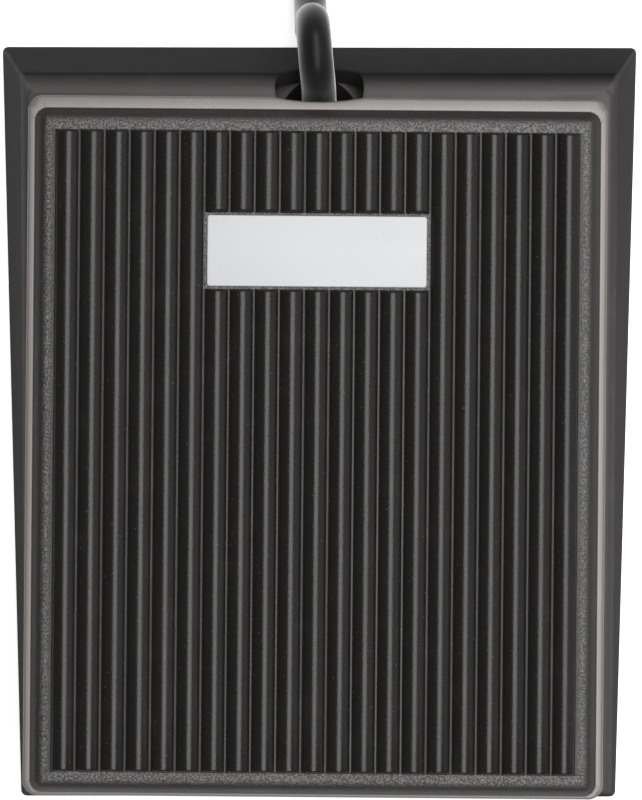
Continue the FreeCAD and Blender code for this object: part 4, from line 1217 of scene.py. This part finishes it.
@dataclass
class Plug(Assembly):
    """The jack plug at the cord's end."""

    moulding: MouldedPlastic = MouldedPlastic("plug moulding", tone(28, 27, 28), Grain.SATIN, 0.45)
    nickel: PlatedMetal = PlatedMetal("plug nickel", (0.66, 0.63, 0.58), 0.16, (60.0, 3000.0, 60.0))
    ring: MouldedPlastic = MouldedPlastic("plug insulator", tone(22, 22, 23), Grain.GLOSS, 0.3)

    def build(self) -> list[bpy.types.Object]:
        """Make and dress the pieces.

        Returns:
            The pieces.
        """
        nickel = self.nickel.material()
        self.skins("plug_moulding", self.moulding.material(), "plug_strain_relief", "plug_grip")
        self.skins("plug_nickel", nickel, "plug_sleeve")
        self.skins("insulator_plastic", self.ring.material(), "plug_insulator")
        self.skins("plug_nickel", nickel, "plug_tip")
        return self.pieces


@dataclass
class Cord(Assembly):
    """The free cord: up out of the notch, over, down to the floor, a coil of two layers, the plug."""

    jacket: CordJacket = CordJacket()
    weave: WovenStrap = WovenStrap()
    diameter: float = 5.6 * MM
    length: float = 1.661
    exit: Point = (0, 46.3 * MM, 20.6 * MM)
    route_mm: tuple[Point, ...] = (
        (0, 46.3, 20.6), (0, 50.157, 25.196), (-0.4, 52.66, 29.84), (-0.8, 57.16, 31.09),
        (-1.1, 61.04, 29.0), (-1.2, 62.47, 25.09), (-1.3, 62.19, 16.4), (-1.5, 67.8, 8.2),
        (-1.8, 77.0, 3.6), (-2.3, 88.5, 2.85), (-3.0, 101.0, 2.85), (-3.2, 110.3, 3.75),
        (-3.2, 116.9, 3.75))
    end_mm: tuple[Point, ...] = (
        (84.2, 116.9, 9.8), (84.2, 107.0, 9.8), (84.9, 96.5, 7.0), (84.9, 88.0, 7.0))
    coil_start_mm: Point = (-3.2, 122.5, 3.75)
    outer_radius_mm: float = 43.7
    turns: float = 3.5
    step_mm: float = 6.05
    layer_mm: float = 6.05
    dip_mm: float = 1.3
    points_per_turn: int = 16
    strap_deg: float = 60.0
    strap_width: float = 6.0 * MM
    strap_thickness: float = 0.7 * MM
    strap_slack: float = 0.15 * MM
    strap_points: int = 96
    strap_points_round: int = 16
    strap_squareness: tuple[float, float] = (0.35, 0.6)

    @property
    def inner_radius_mm(self) -> float:
        """The radius at which the coil reverses."""
        return self.outer_radius_mm - self.turns * self.step_mm

    def coil(self) -> np.ndarray:
        """Return the coil's line in millimetres, points by three.

        The angle falls by a turn per turn. The radius shrinks by a step per turn up to the
        reversal, dips by a sine in the half turn that climbs to the upper layer, where the
        height follows half of one less a cosine, and then grows by a step per turn.

        Returns:
            The points.
        """
        total = 2 * self.turns + 0.5
        turn = np.linspace(0, total, int(total * self.points_per_turn) + 1)
        back = turn - self.turns
        phase = 2 * np.pi * np.clip(back, 0, 0.5)
        radius = np.where(back <= 0, self.outer_radius_mm - self.step_mm * turn,
                          self.inner_radius_mm + self.step_mm * np.maximum(back - 0.5, 0))
        radius = radius - self.dip_mm * np.sin(phase)
        height = self.layer_mm * (1 - np.cos(phase)) / 2
        angle = np.pi - 2 * np.pi * turn
        start_x, start_y, start_z = self.coil_start_mm
        return np.stack([start_x + self.outer_radius_mm + radius * np.cos(angle),
                         start_y + radius * np.sin(angle), start_z + height], axis=-1)

    def line(self) -> bpy.types.Object:
        """Return the cord as one curve through its route, coil and end.

        Returns:
            The piece.
        """
        points = np.concatenate([self.route_mm, self.coil(), self.end_mm]) * MM
        curve = bpy.data.curves.new("cord_line", "CURVE")
        curve.dimensions = "3D"
        spline = curve.splines.new("NURBS")
        spline.points.add(len(points) - 1)
        spline.points.foreach_set("co", np.column_stack([points, np.ones(len(points))]).ravel())
        spline.order_u = 3
        spline.use_endpoint_u = True
        spline.resolution_u = 8
        curve.bevel_depth = self.diameter / 2
        curve.bevel_resolution = 7
        curve.use_fill_caps = True
        return linked("cord_run", curve)

    def strap(self) -> bpy.types.Object:
        """Return the strap round the coil's turns.

        A point at u along it stands on a rectangle with rounded corners, whose corner arcs
        run as the angle u does and whose sides fill between them, plus a flattened oval
        across the strap: half the width by cos v and half the thickness by sin v, each
        brought towards its limit by a power below one.

        Returns:
            The piece.
        """
        low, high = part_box("cord_tie")
        half_thick = self.strap_thickness / 2
        turn = math.radians(self.strap_deg)
        inner = (self.inner_radius_mm - self.dip_mm) * MM - self.diameter / 2
        outer = self.outer_radius_mm * MM + self.diameter / 2
        half_long = (outer - inner) / 2 + half_thick + self.strap_slack
        half_high = (high.z - low.z) / 2 - half_thick
        corner = self.diameter / 2 + half_thick
        u, v = ((np.arange(count) + 0.5) * 2 * np.pi / count
                for count in (self.strap_points, self.strap_points_round))
        side = np.stack([np.cos(u), np.sin(u)], axis=-1)
        path = np.sign(side) * (np.array([half_long, half_high]) - corner) + corner * side
        wide, thick = self.strap_squareness
        across = self.strap_width / 2 * np.sign(np.cos(v)) * np.abs(np.cos(v)) ** wide
        raised = half_thick * np.sign(np.sin(v)) * np.abs(np.sin(v)) ** thick
        plane = path[:, None, :] + side[:, None, :] * raised[None, :, None]
        centre_x = (self.coil_start_mm[0] + self.outer_radius_mm) * MM
        centre_y = self.coil_start_mm[1] * MM
        away = (inner + outer) / 2 + plane[..., 0]
        points = np.stack([
            centre_x + away * math.cos(turn) - across[None, :] * math.sin(turn),
            centre_y + away * math.sin(turn) + across[None, :] * math.cos(turn),
            (low.z + high.z) / 2 + plane[..., 1]], axis=-1)
        steps = np.linalg.norm(np.roll(path, -1, axis=0) - path, axis=1)
        along = np.concatenate([[0], np.cumsum(steps)])[:, None]
        rim = np.concatenate([across, across[:1]])[None, :]
        uv = np.stack(np.broadcast_arrays(along, rim), axis=-1) / MM
        return closed_grid("strap", points, uv, True)

    def build(self) -> list[bpy.types.Object]:
        """Make and dress the pieces.

        Returns:
            The pieces.
        """
        jacket = self.jacket.material()
        strap = self.keep(self.strap(), "root", "tie_fabric", self.weave.material(), "cord_tie")
        cord = self.keep(self.line(), "root", "cord_jacket", jacket, "cord", "cord_coil", "cord_end")
        self.skins("cord_jacket", jacket, "cord_tail")
        return self.pieces


@dataclass(frozen=True)
class Lamp:
    """A soft rectangular lamp: where it hangs, its width and length, and its watts."""

    name: str
    place: Point
    size: tuple[float, float]
    power: float

    def hang(self) -> None:
        """Hang the lamp so that it faces the pedal, its width level."""
        light = bpy.data.lights.new(self.name, "AREA")
        light.shape = "RECTANGLE"
        light.size, light.size_y = self.size
        light.energy = self.power
        lamp = linked(self.name, light)
        back = Vector(self.place).normalized()
        across = Vector((0, 1, 0)).cross(back).normalized()
        axes = Matrix((across, back.cross(across), back)).transposed()
        lamp.matrix_world = Matrix.Translation(Vector(self.place)) @ axes.to_4x4()


@dataclass
class Studio:
    """A pale floor, soft lamps and a camera square to the treadle."""

    lamps: tuple[Lamp, ...] = (
        Lamp("key", (0.16, -0.02, 0.9), (0.48, 1.45), 10.0),
        Lamp("side", (0.7, 0.1, 0.5), (0.9, 0.9), 1.4))
    floor_colour: Colour = (0.86, 0.86, 0.86)
    floor_reach: float = 4.0
    floor_lift: float = 0.6
    world_level: float = 0.15
    target: Point = (0.35 * MM, -0.45 * MM, 27.5 * MM)
    distance: float = 0.400
    tilt_deg: float = TREADLE_TILT_DEG
    roll_deg: float = 0.1
    focal_pixels: float = 2508.0
    picture_height: float = 800.0
    sensor: float = 36.0

    def floor(self) -> None:
        """Lay a wide pale floor under the feet, a little brighter where it is seen than where it lights."""
        reach = self.floor_reach
        mesh = bpy.data.meshes.new("floor")
        mesh.from_pydata([(-reach, -reach, 0), (reach, -reach, 0), (reach, reach, 0), (-reach, reach, 0)],
                         [], [(0, 1, 2, 3)])
        floor = linked("floor", mesh)
        shader = Shader("floor paper")
        path = shader.node("LightPath").outputs
        seen = Value(shader.tree, path["Is Camera Ray"]) + Value(shader.tree, path["Is Glossy Ray"])
        seen = (seen + Value(shader.tree, path["Is Transmission Ray"])).clamped()
        mesh.materials.append(shader.finish({
            "Base Color": (*self.floor_colour, 1), "Roughness": 0.9, "Specular IOR Level": 0.1,
            "Emission Color": shader.blend(seen, (0, 0, 0), (1, 1, 1)),
            "Emission Strength": self.floor_lift}))

    def camera(self) -> None:
        """Place the camera: its axis falls square on the treadle's flat face."""
        tilt = math.radians(self.tilt_deg)
        across = Vector((1, 0, 0))
        upward = Vector((0, math.cos(tilt), math.sin(tilt)))
        back = Vector((0, -math.sin(tilt), math.cos(tilt)))
        turn = Matrix.Rotation(math.radians(self.roll_deg), 3, back)
        lens = bpy.data.cameras.new("camera")
        lens.sensor_width = self.sensor
        lens.lens = self.sensor * self.focal_pixels / self.picture_height
        lens.clip_start = 0.01
        lens.clip_end = 50.0
        camera = linked("camera", lens)
        axes = Matrix((turn @ across, turn @ upward, back)).transposed()
        camera.matrix_world = Matrix.Translation(
            Vector(self.target) + back * self.distance) @ axes.to_4x4()
        bpy.context.scene.camera = camera

    def world(self) -> None:
        """Light the scene evenly from all round."""
        world = bpy.data.worlds.new("soft room")
        world.use_nodes = True
        sky = world.node_tree.nodes["Background"]
        sky.inputs["Color"].default_value = (1, 1, 1, 1)
        sky.inputs["Strength"].default_value = self.world_level
        bpy.context.scene.world = world

    def build(self) -> None:
        """Set the stage."""
        self.floor()
        self.world()
        for lamp in self.lamps:
            lamp.hang()
        self.camera()
        bpy.context.scene.view_settings.view_transform = "Standard"


def main() -> None:
    """Build each sub-assembly in order, then the stage."""
    logging.basicConfig(level=logging.INFO, format="%(name)s: %(message)s")
    for assembly in (Casing(), Treadle(), Hinge(), Switch(), Plug(), Cord()):
        for piece in assembly.build():
            log.info("%s made %s", type(assembly).__name__, piece.name)
    Studio().build()


if __name__ == "__main__":
    main()
